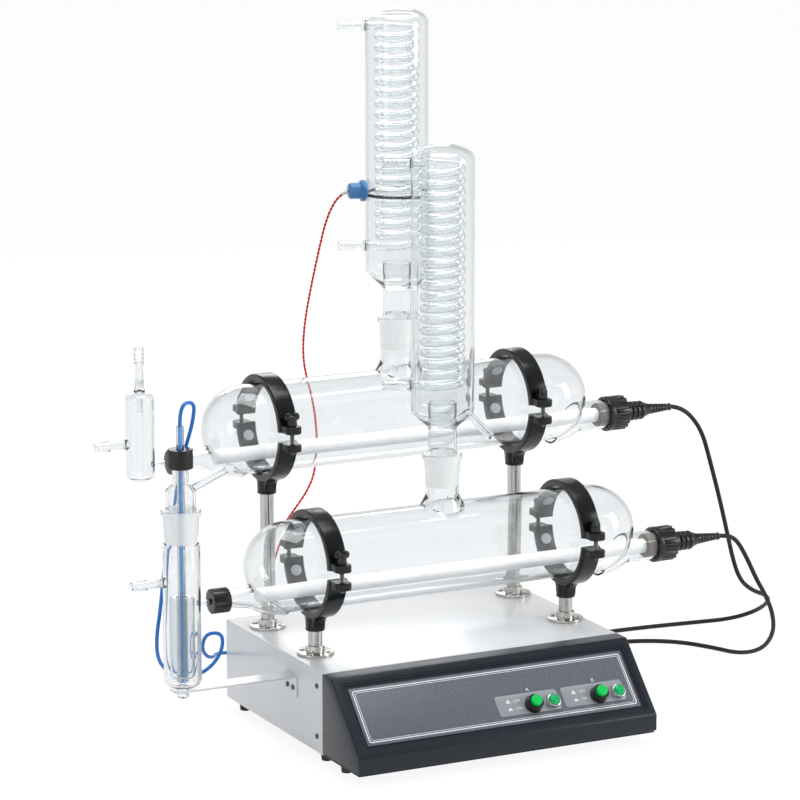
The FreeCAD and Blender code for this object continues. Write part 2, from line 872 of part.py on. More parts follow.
def clamp_start(row, side):
    return (f"post_middle + {side} * post_span / 2 - clamp_width / 2",
            f"post_{row}", f"boiler_{row}_height")


def clamp_half(label, row, side, sign):
    """Half a clamp ring with two bolt ears. The lower half also carries the post socket."""
    start, y, z = clamp_start(row, side)
    middle = f"post_middle + {side} * post_span / 2"
    outer = "(boiler_radius + clamp_clear + clamp_thickness)"
    inner = "(boiler_radius + clamp_clear)"
    floor = f"{z} + clamp_half_gap" if sign > 0 else f"{z} - clamp_half_gap - {outer}"
    ring = common(cylinder(outer, "clamp_width", (start, y, z), ALONG_X),
                  box("clamp_width", f"2 * {outer}", outer, (start, f"{y} - {outer}", floor)))
    ear_foot = f"{z} + clamp_half_gap" if sign > 0 else f"{z} - clamp_half_gap - ear_thickness"
    pieces = [ring]
    for way in (-1, 1):
        bolt = bolt_place(row, way)
        inward = f"{bolt} - (ear_bolt - clamp_clear)" if way > 0 else bolt
        pieces.append(box("2 * ear_tip", "ear_bolt - clamp_clear", "ear_thickness",
                          (f"{middle} - ear_tip", inward, ear_foot)))
        pieces.append(cylinder("ear_tip", "ear_thickness", (middle, bolt, ear_foot)))
    socket_foot = f"{z} - {outer} - socket_drop"
    if sign < 0:
        pieces.append(cylinder("socket_radius", "socket_drop + clamp_thickness / 2",
                               (middle, y, socket_foot)))
        pieces.append(socket_web(middle, y, f"{z} - {outer} - web_drop"))
    tools = [cylinder(inner, "clamp_width + 2", (f"{start} - 1", y, z), ALONG_X)]
    tools += [cylinder("wing_screw_radius + run_gap", "ear_thickness + 2",
                       (middle, bolt_place(row, way), f"{ear_foot} - 1")) for way in (-1, 1)]
    if sign < 0:
        tools.append(cylinder("post_radius + fit_gap", "socket_depth + 1",
                              (middle, y, f"{socket_foot} - 1")))
    angles = ((s.pad_arch_angle, 180 - s.pad_arch_angle) if sign > 0
              else (-s.pad_cradle_angle, s.pad_cradle_angle - 180))
    pads = [clamp_pad(row, side, angle) for angle in angles]
    return subpart(label, several(cut(fuse(*pieces), *tools), *pads))


def socket_web(x, y, foot):
    """Tapered web between the socket and the ring."""
    return primitive("Part::Wedge", {
        "Xmin": "-socket_radius", "Xmax": "socket_radius",
        "X2min": "-web_reach", "X2max": "web_reach",
        "Ymin": "0", "Ymax": "web_height",
        "Zmin": "-web_width / 2", "Zmax": "web_width / 2",
        "Z2min": "-web_width / 2", "Z2max": "web_width / 2",
    }, (x, y, foot), CROSSWISE)


def wing_screw(label, row, side, way):
    """Hand screw with two rounded wings, through both ears."""
    x, y = f"post_middle + {side} * post_span / 2", bolt_place(row, way)
    top = f"boiler_{row}_height + clamp_half_gap + ear_thickness"
    lobes = [cylinder("wing_height / 2", "wing_thickness",
                      (f"{x} + {hand} * (wing_span - wing_height / 2)", f"{y} - wing_thickness / 2",
                       f"{top} + wing_lift + wing_height / 2"), ALONG_Y) for hand in (-1, 1)]
    return subpart(label, fuse(
        cylinder("wing_screw_radius", "wing_screw_length",
                 (x, y, f"{top} + wing_hub_height / 2 - wing_screw_length")),
        cylinder("wing_hub_radius", "wing_hub_height", (x, y, top)), *lobes))


# Boilers and heaters

def boiler(label, row):
    """Horizontal glass drum with a socket on top, a heater neck and an inlet."""
    x, y, z = f"boiler_{row}_middle", f"post_{row}", f"boiler_{row}_height"
    low = f"{z} - port_drop"
    left = f"{x} - boiler_straight / 2"
    right = f"{x} + boiler_straight / 2"
    collar = f"{z} + neck_{row}_height"
    root = f"{left} - inlet_root"

    def drum(inset, outside):
        """Solids of the drum and its low necks, drawn in by an inset."""
        reach = "0" if outside else "1"
        return [
            cylinder(f"boiler_radius - {inset}", "boiler_straight", (left, y, z), ALONG_X),
            half_ball(f"boiler_radius - {inset}", (left, y, z), ALONG_MINUS_X),
            half_ball(f"boiler_radius - {inset}", (right, y, z), ALONG_X),
            cone(f"inlet_root_radius - {inset}", f"inlet_radius - {inset}", "inlet_taper",
                 (root, y, low), ALONG_MINUS_X),
            cylinder(f"inlet_radius - {inset}", f"inlet_length + {reach}",
                     (f"{root} - inlet_taper", y, low), ALONG_MINUS_X),
            cylinder(f"heater_neck_radius - {inset}", f"heater_neck_length + {reach}",
                     (f"{right} + heater_neck_start", y, low), ALONG_X),
        ]

    neck_foot = f"{z} + boiler_radius - neck_flare_sink"
    neck_radius = "(joint_radius - joint_length / 20 + joint_wall)"
    outer = drum("0", True) + [
        cone("neck_flare_radius", neck_radius, "neck_flare_height", (x, y, neck_foot)),
        cylinder(neck_radius, f"{collar} - joint_length - ({neck_foot})", (x, y, neck_foot)),
        cone(neck_radius, "joint_radius + joint_wall", "joint_length",
             (x, y, f"{collar} - joint_length")),
        cylinder("joint_bead", "bead_height", (x, y, f"{collar} - bead_height")),
    ]
    inner = drum("boiler_wall", False) + [
        cylinder("joint_radius - joint_length / 20 - run_gap", f"{collar} - joint_length - ({z})",
                 (x, y, z)),
        cone("joint_radius - joint_length / 20", "joint_radius", "joint_length",
             (x, y, f"{collar} - joint_length")),
    ]
    return subpart(label, cut(fuse(*outer), fuse(*inner)))


def neck_end(row):
    """Where the heater neck ends along X."""
    return f"boiler_{row}_middle + boiler_straight / 2 + heater_neck_start + heater_neck_length"


def heater_tube(label, row):
    """White quartz tube along the bottom of the boiler, closed at its far end."""
    y, low = f"post_{row}", f"boiler_{row}_height - port_drop"
    end = f"{neck_end(row)} - heater_stop"
    start = f"boiler_{row}_middle - heater_left"
    whole = cylinder("heater_radius", f"{end} - ({start})", (start, y, low), ALONG_X)
    bore = cylinder("heater_radius - heater_wall", f"{end} - ({start})",
                    (f"{start} + heater_wall", y, low), ALONG_X)
    return subpart(label, cut(whole, bore))


def heater_nut(label, row):
    """Ribbed screw nut over the heater neck, with a flange at its open end."""
    y, low = f"post_{row}", f"boiler_{row}_height - port_drop"
    start = f"{neck_end(row)} - nut_overlap"
    ribs = [leaning_cylinder("nut_rib_radius", "nut_length - nut_flange_length",
                             rib_place(row, index), Vector(1, 0, 0))
            for index in range(round(s.nut_ribs))]
    body = fuse(
        cylinder("nut_radius", "nut_length", (start, y, low), ALONG_X),
        cylinder("nut_flange_radius", "nut_flange_length", (start, y, low), ALONG_X), *ribs)
    return subpart(label, cut(
        body,
        cylinder("heater_neck_radius + run_gap", "nut_overlap + stopper_flange + run_gap + 1",
                 (f"{start} - 1", y, low), ALONG_X),
        cylinder("stopper_neck_radius + run_gap", "nut_length + 2", (f"{start} - 1", y, low), ALONG_X)))


def rib_place(row, index):
    """Foot of one grip rib on the nut."""
    turn = math.radians(index * 360 / round(s.nut_ribs))
    start = number(f"{neck_end(row)} - nut_overlap + nut_flange_length")
    return Vector(start, row_y[row] + s.nut_radius * math.cos(turn),
                  row_z[row] - s.port_drop + s.nut_radius * math.sin(turn))


def heater_head(label, row):
    """Rubber stopper in the neck, its cable gland and a tapered strain relief."""
    y, low = f"post_{row}", f"boiler_{row}_height - port_drop"
    end = neck_end(row)
    nut_end = f"{end} - nut_overlap + nut_length"
    gland_end = f"{nut_end} + fit_gap + head_gland_length"
    body = fuse(
        cylinder("heater_neck_radius - boiler_wall - run_gap", "stopper_insert + 1",
                 (f"{end} - stopper_insert", y, low), ALONG_X),
        cylinder("heater_neck_radius", "stopper_flange", (end, y, low), ALONG_X),
        cylinder("stopper_neck_radius", f"{nut_end} + fit_gap - ({end})", (end, y, low), ALONG_X),
        cylinder("head_gland_radius", "head_gland_length", (f"{nut_end} + fit_gap", y, low), ALONG_X),
        cone("relief_radius", "relief_tip", "relief_length", (gland_end, y, low), ALONG_X))
    return subpart(label, cut(body, cylinder(
        "heater_radius + fit_gap", "stopper_insert - heater_stop + 1",
        (f"{end} - stopper_insert - 1", y, low), ALONG_X)))


# Condensers

def condenser_places(row):
    """Axis and heights of a condenser."""
    collar = row_z[row] + row_neck[row]
    cone_foot = collar + row_stem[row]
    shoulder = cone_foot + s.shoulder_height
    low_barb = shoulder + s.jacket_foot
    high_barb = low_barb + coil_rise()
    return SimpleNamespace(x=row_x[row], y=row_y[row], collar=collar, foot=collar - s.joint_length,
                           cone_foot=cone_foot, shoulder=shoulder, low_barb=low_barb,
                           high_barb=high_barb, tip=high_barb + s.jacket_head)


bend_turn = math.acos(s.coil_bend / (s.coil_radius + s.coil_bend))
bend_angle = math.degrees(math.atan2(s.coil_bend * math.sin(bend_turn),
                                     s.coil_radius + s.coil_bend - s.coil_bend * math.cos(bend_turn)))
bend_reach = math.hypot(s.coil_bend * math.sin(bend_turn),
                        s.coil_radius + s.coil_bend - s.coil_bend * math.cos(bend_turn))
helix_turns = s.coil_turns - 2 * bend_angle / 360
helix_slope = math.atan2(s.coil_pitch, 2 * math.pi * s.coil_radius)
bend_rise = s.coil_bend * bend_turn * math.tan(helix_slope / 2)
barb_root = s.jacket_radius + s.jacket_seat


def coil_rise():
    """Height between the two hose connections that the coil joins."""
    return helix_turns * s.coil_pitch + 2 * bend_rise


def condenser_glass(label, row):
    """Jacket with a domed head, an inner stem, a ground cone, two hose barbs and an outlet."""
    at = condenser_places(row)
    wall = s.glass_wall
    plug_radius = s.joint_radius - s.run_gap
    plug_foot_radius = joint_foot_radius - s.run_gap
    outside = dome(s.jacket_radius, at.tip, s.dome_depth, s.dome_knuckle)
    outside += path((s.jacket_radius, at.tip - s.dome_depth), (s.jacket_radius, at.shoulder),
                    (s.stem_radius, at.cone_foot), (s.stem_radius, at.collar + s.stem_collar),
                    (plug_radius, at.collar), (plug_foot_radius, at.foot), (0, at.foot), (0, at.tip))
    slant = math.atan2(s.shoulder_height, s.jacket_radius - s.stem_radius)
    lift = wall / math.cos(slant)
    stem_top = at.shoulder + s.stem_rise
    inside = dome(s.jacket_radius - wall, at.tip - wall, s.dome_depth - wall, s.dome_knuckle - wall)
    inside += path((s.jacket_radius - wall, at.tip - s.dome_depth),
                   (s.jacket_radius - wall, at.shoulder + lift - wall * math.tan(slant)),
                   (s.stem_radius, at.cone_foot + lift), (s.stem_radius, stem_top),
                   (s.stem_bore, stem_top), (s.stem_bore, at.foot), (0, at.foot), (0, at.tip - wall))
    out = heading(s.hose_angle)
    outer, inner = [turned(outside)], [turned(inside)]
    for height in (at.low_barb, at.high_barb):
        axis = Vector(at.x, at.y, height)
        root = s.jacket_radius - wall / 2
        outer.append(aimed(hose_barb(s.hose_length + wall / 2), axis + out * root, out))
        outer.append(aimed(rod(s.hose_boss, 0, barb_root + s.hose_boss_length - root),
                           axis + out * root, out))
        inner.append(aimed(rod(s.hose_bore, 0, s.hose_length + wall), axis + out * root, out))
        inner.append(aimed(rod(s.coil_tube_radius + s.coil_gap, 0, barb_root - root + wall),
                           axis + out * (root - wall), out))
    for shape in (outer[0], inner[0]):
        shape.translate(Vector(at.x, at.y, 0))
    fall = heading(0, -45)
    shoulder_point = Vector(at.x + s.stem_radius + s.outlet_shift, at.y,
                            at.cone_foot + s.outlet_shift * math.tan(slant))
    outer.append(aimed(rod(s.outlet_radius, 0, s.outlet_length), shoulder_point - fall * wall / 2, fall))
    inner.append(aimed(rod(s.outlet_bore, 0, s.outlet_length + 2 * wall), shoulder_point - fall * wall,
                       fall))
    return feature(label, hollow(outer, inner))


def condenser_coil(label, row):
    """Glass spiral between the two hose connections, one unbroken tube."""
    at = condenser_places(row)
    middle = Vector(at.x, at.y, 0)
    rise = s.coil_pitch / 360

    def spot(angle, height, radius=s.coil_radius):
        return middle + heading(angle) * radius + UP * height

    first, last = s.hose_angle + bend_angle, s.hose_angle - bend_angle + 360 * s.coil_turns
    low = at.low_barb + bend_rise
    steps = round(2 * s.coil_turns)
    points = []
    for step in range(steps + 1):
        angle = first + (last - first) * step / steps
        forward = heading(angle + 90, math.degrees(helix_slope))
        points.append((spot(angle, low + (angle - first) * rise), forward))
    out = heading(s.hose_angle)
    start = spot(s.hose_angle, at.low_barb, barb_root)
    start_bend = spot(s.hose_angle, at.low_barb, bend_reach)
    end_bend = spot(s.hose_angle, at.high_barb, bend_reach)
    end = spot(s.hose_angle, at.high_barb, barb_root)
    edges = [Part.makeLine(start, start_bend)]
    edges += biarc(start_bend, -out, *points[0])
    for (here, leaving), (there, arriving) in zip(points, points[1:]):
        edges += biarc(here, leaving, there, arriving)
    edges += biarc(*points[-1], end_bend, out)
    edges.append(Part.makeLine(end_bend, end))
    tube = swept(edges, s.coil_tube_radius)
    length = sum(edge.Length for edge in edges)
    print(label, "least gap to itself", round(self_gap(edges), 2), "length", round(length),
          "volume error", round(tube.Volume / (math.pi * s.coil_tube_radius ** 2 * length) - 1, 4))
    return feature(label, tube)


def self_gap(edges):
    """Least gap between parts of the tube more than a few diameters apart along it."""
    samples, travelled = [], 0.0
    for edge in edges:
        count = max(2, int(edge.Length / 3))
        first, last = edge.FirstParameter, edge.LastParameter
        for step in range(count):
            point = edge.valueAt(first + (last - first) * step / count)
            samples.append((travelled + edge.Length * step / count, point))
        travelled += edge.Length
    apart = 8 * s.coil_tube_radius
    least = min(here.distanceToPoint(there) for where, here in samples
                for place, there in samples if place - where > apart)
    return least - 2 * s.coil_tube_radius


# Thermostat on the back condenser

thermostat_axis = Vector(row_x["back"], row_y["back"], s.thermostat_height)
thermostat_out = heading(s.thermostat_angle)
strap_outer = s.jacket_radius + s.run_gap + s.strap_thickness


def thermostat():
    """Bimetal switch: two wings on the strap, a collar and a round body."""
    across = heading(s.thermostat_angle + 90)
    foot = thermostat_axis + thermostat_out * (strap_outer + s.fit_gap)
    wings = box("2 * thermostat_wing", "thermostat_wing_height", "thermostat_wing_sheet")
    wings.Placement = Placement(
        foot - across * s.thermostat_wing - UP * s.thermostat_wing_height / 2,
        Rotation(across, UP, thermostat_out, "XYZ"))
    return subpart("thermostat", fuse(
        wings,
        leaning_cylinder("thermostat_ring_radius", "thermostat_ring_length", foot, thermostat_out),
        leaning_cylinder("thermostat_radius", "thermostat_length", foot, thermostat_out)))


def thermostat_strap():
    """Band round the condenser jacket that holds the thermostat."""
    x, y = "boiler_back_middle", "post_back"
    foot = "thermostat_height - strap_drop - strap_height / 2"
    return subpart("thermostat_strap", cut(
        cylinder("jacket_radius + run_gap + strap_thickness", "strap_height", (x, y, foot)),
        cylinder("jacket_radius + run_gap", "strap_height + 2", (x, y, f"{foot} - 1"))))


# Level devices

def side_port(x, y, z, radius, bore):
    """Glass port from a device towards its boiler, and its bore."""
    reach = s.device_offset + s.port_insert
    along = Vector(1, 0, 0)
    return (aimed(rod(radius, 0, reach), Vector(x, y, z), along),
            aimed(rod(bore, 0, reach + 1), Vector(x, y, z), along))


def side_hose(x, y, z, body_radius):
    """Hose barb away from the boilers, and its bore."""
    along = Vector(-1, 0, 0)
    start = Vector(x, y, z) + along * (body_radius - s.glass_wall)
    return (aimed(hose_barb(s.side_hose_length + s.glass_wall), start, along),
            aimed(rod(s.hose_bore, 0, s.side_hose_length + 3 * s.glass_wall), start - along, along))


def level_cup():
    """Constant level cup: a rounded jar with a feed barb above, a drain barb and an overflow."""
    x, y = device_x["back"], row_y["back"]
    wall = s.glass_wall
    low, high = s.cup_foot + s.cup_dome, s.cup_shoulder - s.cup_dome

    def jar(inset):
        radius, knuckle = s.cup_radius - inset, s.cup_knuckle - inset
        edges = dome(radius, s.cup_foot + inset, -(s.cup_dome - inset), knuckle)
        edges += path((radius, low), (radius, high))
        edges += dome(radius, s.cup_shoulder - inset, s.cup_dome - inset, knuckle)
        edges += path((0, s.cup_shoulder - inset), (0, s.cup_foot + inset))
        shape = turned(edges)
        shape.translate(Vector(x, y, 0))
        return shape

    port, port_bore = side_port(x, y, row_z["back"] - s.port_drop, s.port_radius, s.port_bore)
    drain, drain_bore = side_hose(x, y, s.cup_hose_height, s.cup_radius)
    neck_foot = Vector(x, y, s.cup_shoulder - wall)
    feed = aimed(hose_barb(s.cup_top - s.cup_shoulder + wall), neck_foot, UP)
    shell = jar(0).fuse([port, drain, feed]).cut([jar(wall), port_bore, drain_bore])
    drop = rod(s.hose_core, s.cup_drop_end, s.cup_shoulder - wall / 2)
    drop.translate(Vector(x, y, 0))
    bore = rod(s.hose_bore, s.cup_drop_end - 1, s.cup_top + 1)
    bore.translate(Vector(x, y, 0))
    return feature("level_cup", shell.fuse(drop).cut(bore))


def port_cap(label, row):
    """Ribbed screw cap on the boiler inlet, with a hole for the device's port."""
    y, low = f"post_{row}", f"boiler_{row}_height - port_drop"
    end = (f"boiler_{row}_middle - boiler_straight / 2 - inlet_root - inlet_taper - inlet_length"
           " - cap_end")
    start = number(end)
    ribs = [leaning_cylinder("cap_rib_radius", "cap_length", cap_rib_place(row, start, index),
                             Vector(1, 0, 0)) for index in range(round(s.cap_ribs))]
    return subpart(label, cut(
        fuse(cylinder("cap_radius", "cap_length", (end, y, low), ALONG_X), *ribs),
        cylinder("inlet_radius + run_gap", "cap_length", (f"{end} + cap_end", y, low), ALONG_X),
        cylinder("port_radius + run_gap", "cap_length", (f"{end} - 1", y, low), ALONG_X)))


def cap_rib_place(row, start, index):
    """Foot of one grip rib on a port cap."""
    turn = math.radians(index * 360 / round(s.cap_ribs))
    return Vector(start, row_y[row] + s.cap_radius * math.cos(turn),
                  row_z[row] - s.port_drop + s.cap_radius * math.sin(turn))


def controller_tube():
    """Float chamber with a ground socket on top, a drain bump, a barb and a port."""
    x, y = device_x["front"], row_y["front"]
    wall = s.glass_wall
    socket_foot = s.tube_collar - s.joint_length
    outer_foot = joint_foot_radius + wall

    def chamber(inset):
        radius = s.tube_radius - inset
        edges = dome(radius, s.tube_foot + inset, -(s.tube_dome - inset), s.tube_knuckle - inset)
        if inset:
            edges += path((radius, s.tube_foot + s.tube_dome), (radius, socket_foot - wall),
                          (joint_foot_radius, socket_foot), (s.joint_radius, s.tube_collar),
                          (s.joint_radius, s.tube_collar + 1), (0, s.tube_collar + 1))
        else:
            edges += path((radius, s.tube_foot + s.tube_dome), (radius, socket_foot - wall),
                          (outer_foot, socket_foot),
                          (s.joint_radius + wall, s.tube_collar - s.bead_height),
                          (s.joint_bead, s.tube_collar - s.bead_height),
                          (s.joint_bead, s.tube_collar), (0, s.tube_collar))
        top = s.tube_collar + (1 if inset else 0)
        edges += path((0, top), (0, s.tube_foot + inset))
        return turned(edges)

    def drain(inset):
        tip = s.tube_foot - s.drain_drop + inset
        radius = s.drain_radius - inset
        edges = dome(radius, tip, -(s.drain_dome - inset), s.drain_knuckle - inset)
        top = s.tube_foot + s.tube_dome / 4
        edges += path((radius, tip - inset + s.drain_dome), (radius, top), (0, top), (0, tip))
        return turned(edges)

    place = Vector(x, y, 0)
    outer, inner = [chamber(0), drain(0)], [chamber(wall), drain(wall)]
    for shape in outer + inner:
        shape.translate(place)
    port, port_bore = side_port(x, y, row_z["front"] - s.port_drop, s.port_radius, s.port_bore)
    barb, barb_bore = side_hose(x, y, s.tube_hose_height, s.tube_radius)
    solid = outer[0].fuse([outer[1], port, barb])
    return feature("controller_tube", solid.cut(inner + [port_bore, barb_bore]))


def controller_head():
    """Glass head with a ground cone below, a slanted vent and a threaded neck above."""
    x, y = device_x["front"], row_y["front"]
    wall = s.glass_wall
    foot = s.tube_collar - s.joint_length
    plug, plug_foot = s.joint_radius - s.run_gap, joint_foot_radius - s.run_gap
    neck_foot = s.head_shoulder + s.head_radius - s.head_neck_radius
    outer = turned(path((0, foot), (plug_foot, foot), (plug, s.tube_collar),
                        (s.head_radius, s.tube_collar + s.stem_collar),
                        (s.head_radius, s.head_shoulder), (s.head_neck_radius, neck_foot),
                        (s.head_neck_radius, s.head_top), (0, s.head_top), (0, foot)))
    bore, neck_bore = plug_foot - wall, s.head_neck_radius - wall
    inner = turned(path((0, foot - 1), (bore, foot - 1), (bore, s.head_shoulder),
                        (neck_bore, neck_foot), (neck_bore, s.head_top + 1),
                        (0, s.head_top + 1), (0, foot - 1)))
    for shape in (outer, inner):
        shape.translate(Vector(x, y, 0))
    lean = Vector(s.stub_length, 0, s.stub_rise).normalize()
    start = Vector(x, y, s.head_shoulder - s.stub_radius) + lean * (bore - wall)
    stub = aimed(rod(s.stub_radius, 0, s.stub_length), start, lean)
    stub_bore = aimed(rod(s.stub_bore, 0, s.stub_length + 2), start - lean, lean)
    return feature("controller_head", outer.fuse(stub.cut(inner)).cut([inner, stub_bore]))


def head_cap():
    """Ribbed screw cap on the controller head, holding the guide tube."""
    x, y = device_x["front"], row_y["front"]
    top = s.head_cap_foot + s.head_cap_length
    cap = turned(path((0, s.head_cap_foot), (s.cap_radius, s.head_cap_foot), (s.cap_radius, top),
                      (0, top), (0, s.head_cap_foot)))
    ribs = []
    for index in range(round(s.cap_ribs)):
        rib = rod(s.cap_rib_radius, s.head_cap_foot, top)
        rib.translate(heading(index * 360 / round(s.cap_ribs)) * s.cap_radius)
        ribs.append(rib)
    cavity = rod(s.head_neck_radius + s.run_gap, s.head_cap_foot - 1, s.head_top)
    hole = rod(s.guide_radius + s.run_gap, s.head_cap_foot - 1, top + 1)
    shape = cap.fuse(ribs).cut([cavity, hole])
    shape.translate(Vector(x, y, 0))
    return feature("head_cap", shape)


def guide_tube():
    """Closed glass tube down the chamber, with a foot bead that stops the float."""
    x, y = str(device_x["front"]), "post_front"
    stop = "guide_foot + guide_stop_lift"
    return subpart("guide_tube", cut(
        fuse(cylinder("guide_radius", "guide_top - guide_foot", (x, y, "guide_foot")),
             cylinder("guide_stop_radius", "guide_stop_height", (x, y, stop))),
        cylinder("guide_radius - guide_wall", "guide_top - guide_foot",
                 (x, y, "guide_foot + guide_wall"))))


def level_sensor():
    """Reed switch rod inside the guide tube."""
    x, y = str(device_x["front"]), "post_front"
    return subpart("level_sensor", cylinder(
        "sensor_radius", "guide_top - guide_foot - guide_wall", (x, y, "guide_foot + guide_wall")))


def level_float():
    """Ring float that rides on the guide tube."""
    x, y = str(device_x["front"]), "post_front"
    foot = "guide_foot + guide_stop_lift + guide_stop_height + run_gap"
    return subpart("level_float", cut(
        cylinder("float_radius", "float_height", (x, y, foot)),
        cylinder("float_bore", "float_height + 2", (x, y, f"{foot} - 1"))))


def level_bracket():
    """Bent strip from the side of the case to the drain bump of the float chamber."""
    top = "(tube_foot - run_gap)"
    seat = str(device_x["front"])
    arm = box(f"-case_width / 2 - ({seat}) + arm_overhang", "arm_width", "arm_sheet",
              (f"{seat} - arm_overhang", "post_front - arm_width / 2", f"{top} - arm_sheet"))
    flange = box("arm_sheet", "arm_flange_width", "arm_flange_height",
                 ("-case_width / 2 - arm_sheet", "post_front - arm_flange_width / 2",
                  f"{top} - arm_flange_height"))
    holes = [cylinder("flange_screw_radius + hole_gap", "arm_sheet + 2",
                      ("-case_width / 2 - arm_sheet - 1", y, z), ALONG_X)
             for y, z in bracket_screw_places()]
    seat_hole = cylinder("drain_radius + 2 * run_gap", "arm_sheet + 2",
                         (seat, "post_front", f"{top} - arm_sheet - 1"))
    return subpart("level_bracket", cut(fuse(arm, flange), seat_hole, *holes))


# Routes of the free cords

def lead_start(row):
    """End of the heater's strain relief."""
    nut_end = number(f"{neck_end(row)} - nut_overlap + nut_length")
    end = nut_end + s.fit_gap + s.head_gland_length + s.relief_length
    return (end, row_y[row], row_z[row] - s.port_drop)


def gland_end(x, height):
    return (x, back_face + s.gland_reach, height)


FRONT_LEAD = [
    (355, -48, 170.3), (365, -48, 165.5), (373, -48, 155.5), (383, -48, 138), (394, -48, 116),
    (408, -46, 95), (422, -40, 70), (432, -26, 43), (434, 0, 18), (428, 38, 4), (415, 80, 3),
    (392, 118, 3), (352, 142, 3), (300, 151, 3), (245, 155, 3), (200, 158, 3), (178, 163, 3),
    (160, 167, 8), (149, 168, 18), (145, 168, 37),
]
BACK_LEAD = [
    (360.5, 70, 291.5), (377, 70, 281), (393, 70, 259), (404, 70, 224), (416, 70, 184),
    (427, 70, 143), (437, 70, 104), (447, 70, 80), (464, 71, 66), (486, 78, 57), (504, 97, 43),
    (508, 129, 23), (492, 161, 7), (450, 180, 3), (392, 187, 3), (334, 190, 3), (276, 190.5, 3),
    (218, 188, 3), (168, 182, 3), (142, 176, 4), (125, 171, 10), (114, 168, 20), (110, 168, 37),
]
THERMOSTAT_WIRE = [
    (-51, 84.5, 561), (-58, 91, 550), (-63, 99, 530), (-67, 107, 500), (-71, 115, 466),
    (-75, 122, 432), (-77, 127, 400), (-76, 129, 372), (-69, 129, 344), (-63, 128, 312),
    (-61, 128, 280), (-63, 128, 250), (-72, 128, 230), (-86, 129, 212), (-99, 132, 194),
    (-106, 137, 170), (-109, 145, 142), (-110, 155, 114), (-110, 163, 92), (-110, 158, 73),
]
SENSOR_LEAD = [
    (-299.4, -47.7, 382), (-279.4, -41, 382), (-280, -36, 358), (-287, -30, 328),
    (-294, -25, 292), (-301, -20, 246), (-306, -17, 200), (-309, -14, 160), (-312, -9, 128),
    (-307, 0, 102), (-290, 14, 82), (-266, 30, 70), (-240, 45, 65), (-219, 56, 70), (-205, 62, 84),
    (-203, 66, 101), (-219, 73, 101), (-222, 79, 84), (-213, 87, 71), (-200, 100, 65),
    (-189, 120, 60), (-178, 142, 55), (-162, 156, 51), (-146, 154, 50),
]

# Build every sub-part

base_case()
bottom_plate()
rubber_feet()
front_bezel()
fascia_panel()
switch_bodies()
button("button_a", 0)
button("button_b", 1)
lamp_housings()
lamp_lenses()
case_screws()
flange_screws()
post_flanges()
support_posts()
rear_glands()
control_board()
for row in ROWS:
    for side_name, side in SIDES.items():
        clamp_half(f"{row}_{side_name}_cradle", row, side, -1)
        clamp_half(f"{row}_{side_name}_arch", row, side, 1)
        wing_screw(f"{row}_{side_name}_front_screw", row, side, -1)
        wing_screw(f"{row}_{side_name}_rear_screw", row, side, 1)
    boiler(f"{row}_boiler_glass", row)
    heater_tube(f"{row}_heater_tube", row)
    heater_nut(f"{row}_heater_nut", row)
    heater_head(f"{row}_heater_head", row)
    condenser_glass(f"{row}_condenser_glass", row)
    condenser_coil(f"{row}_condenser_coil", row)
thermostat()
thermostat_strap()
level_cup()
port_cap("cup_port_cap", "back")
port_cap("controller_port_cap", "front")
controller_tube()
controller_head()
head_cap()
guide_tube()
level_sensor()
level_float()
level_bracket()
cord("front_heater_lead", s.lead_diameter, [
    lead_start("front"), *FRONT_LEAD, (s.heater_gland_front, back_face + s.lead_run, s.gland_height),
    gland_end(s.heater_gland_front, s.gland_height)])
cord("back_heater_lead", s.lead_diameter, [
    lead_start("back"), *BACK_LEAD, (s.heater_gland_back, back_face + s.lead_run, s.gland_height),
    gland_end(s.heater_gland_back, s.gland_height)])
cord("thermostat_wire", s.wire_diameter, [
    thermostat_axis + thermostat_out * (strap_outer + s.fit_gap + s.thermostat_length),
    *THERMOSTAT_WIRE, (s.thermostat_gland, back_face + s.wire_run, s.thermostat_gland_height),
    gland_end(s.thermostat_gland, s.thermostat_gland_height)])
cord("sensor_lead", s.sensor_lead_diameter, [
    (device_x["front"], row_y["front"], s.guide_top), *SENSOR_LEAD,
    gland_end(s.sensor_gland, s.gland_height)])

doc.recompute()

for obj in doc.Objects:
    if "Invalid" in obj.State or "Error" in obj.State:
        raise ValueError(f"{obj.Name} failed: {obj.State}")
for obj in subparts:
    if obj.Shape.isNull() or not obj.Shape.isValid():
        raise ValueError(f"{obj.Label} has no valid shape")

os.makedirs("parts", exist_ok=True)
for obj in subparts:
    obj.Shape.exportStep(f"parts/{obj.Label}.step")
print(len(subparts), "sub-parts written")
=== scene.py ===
import math

import bpy
from bpy.props import FloatProperty, FloatVectorProperty, PointerProperty
from mathutils import Matrix, Vector


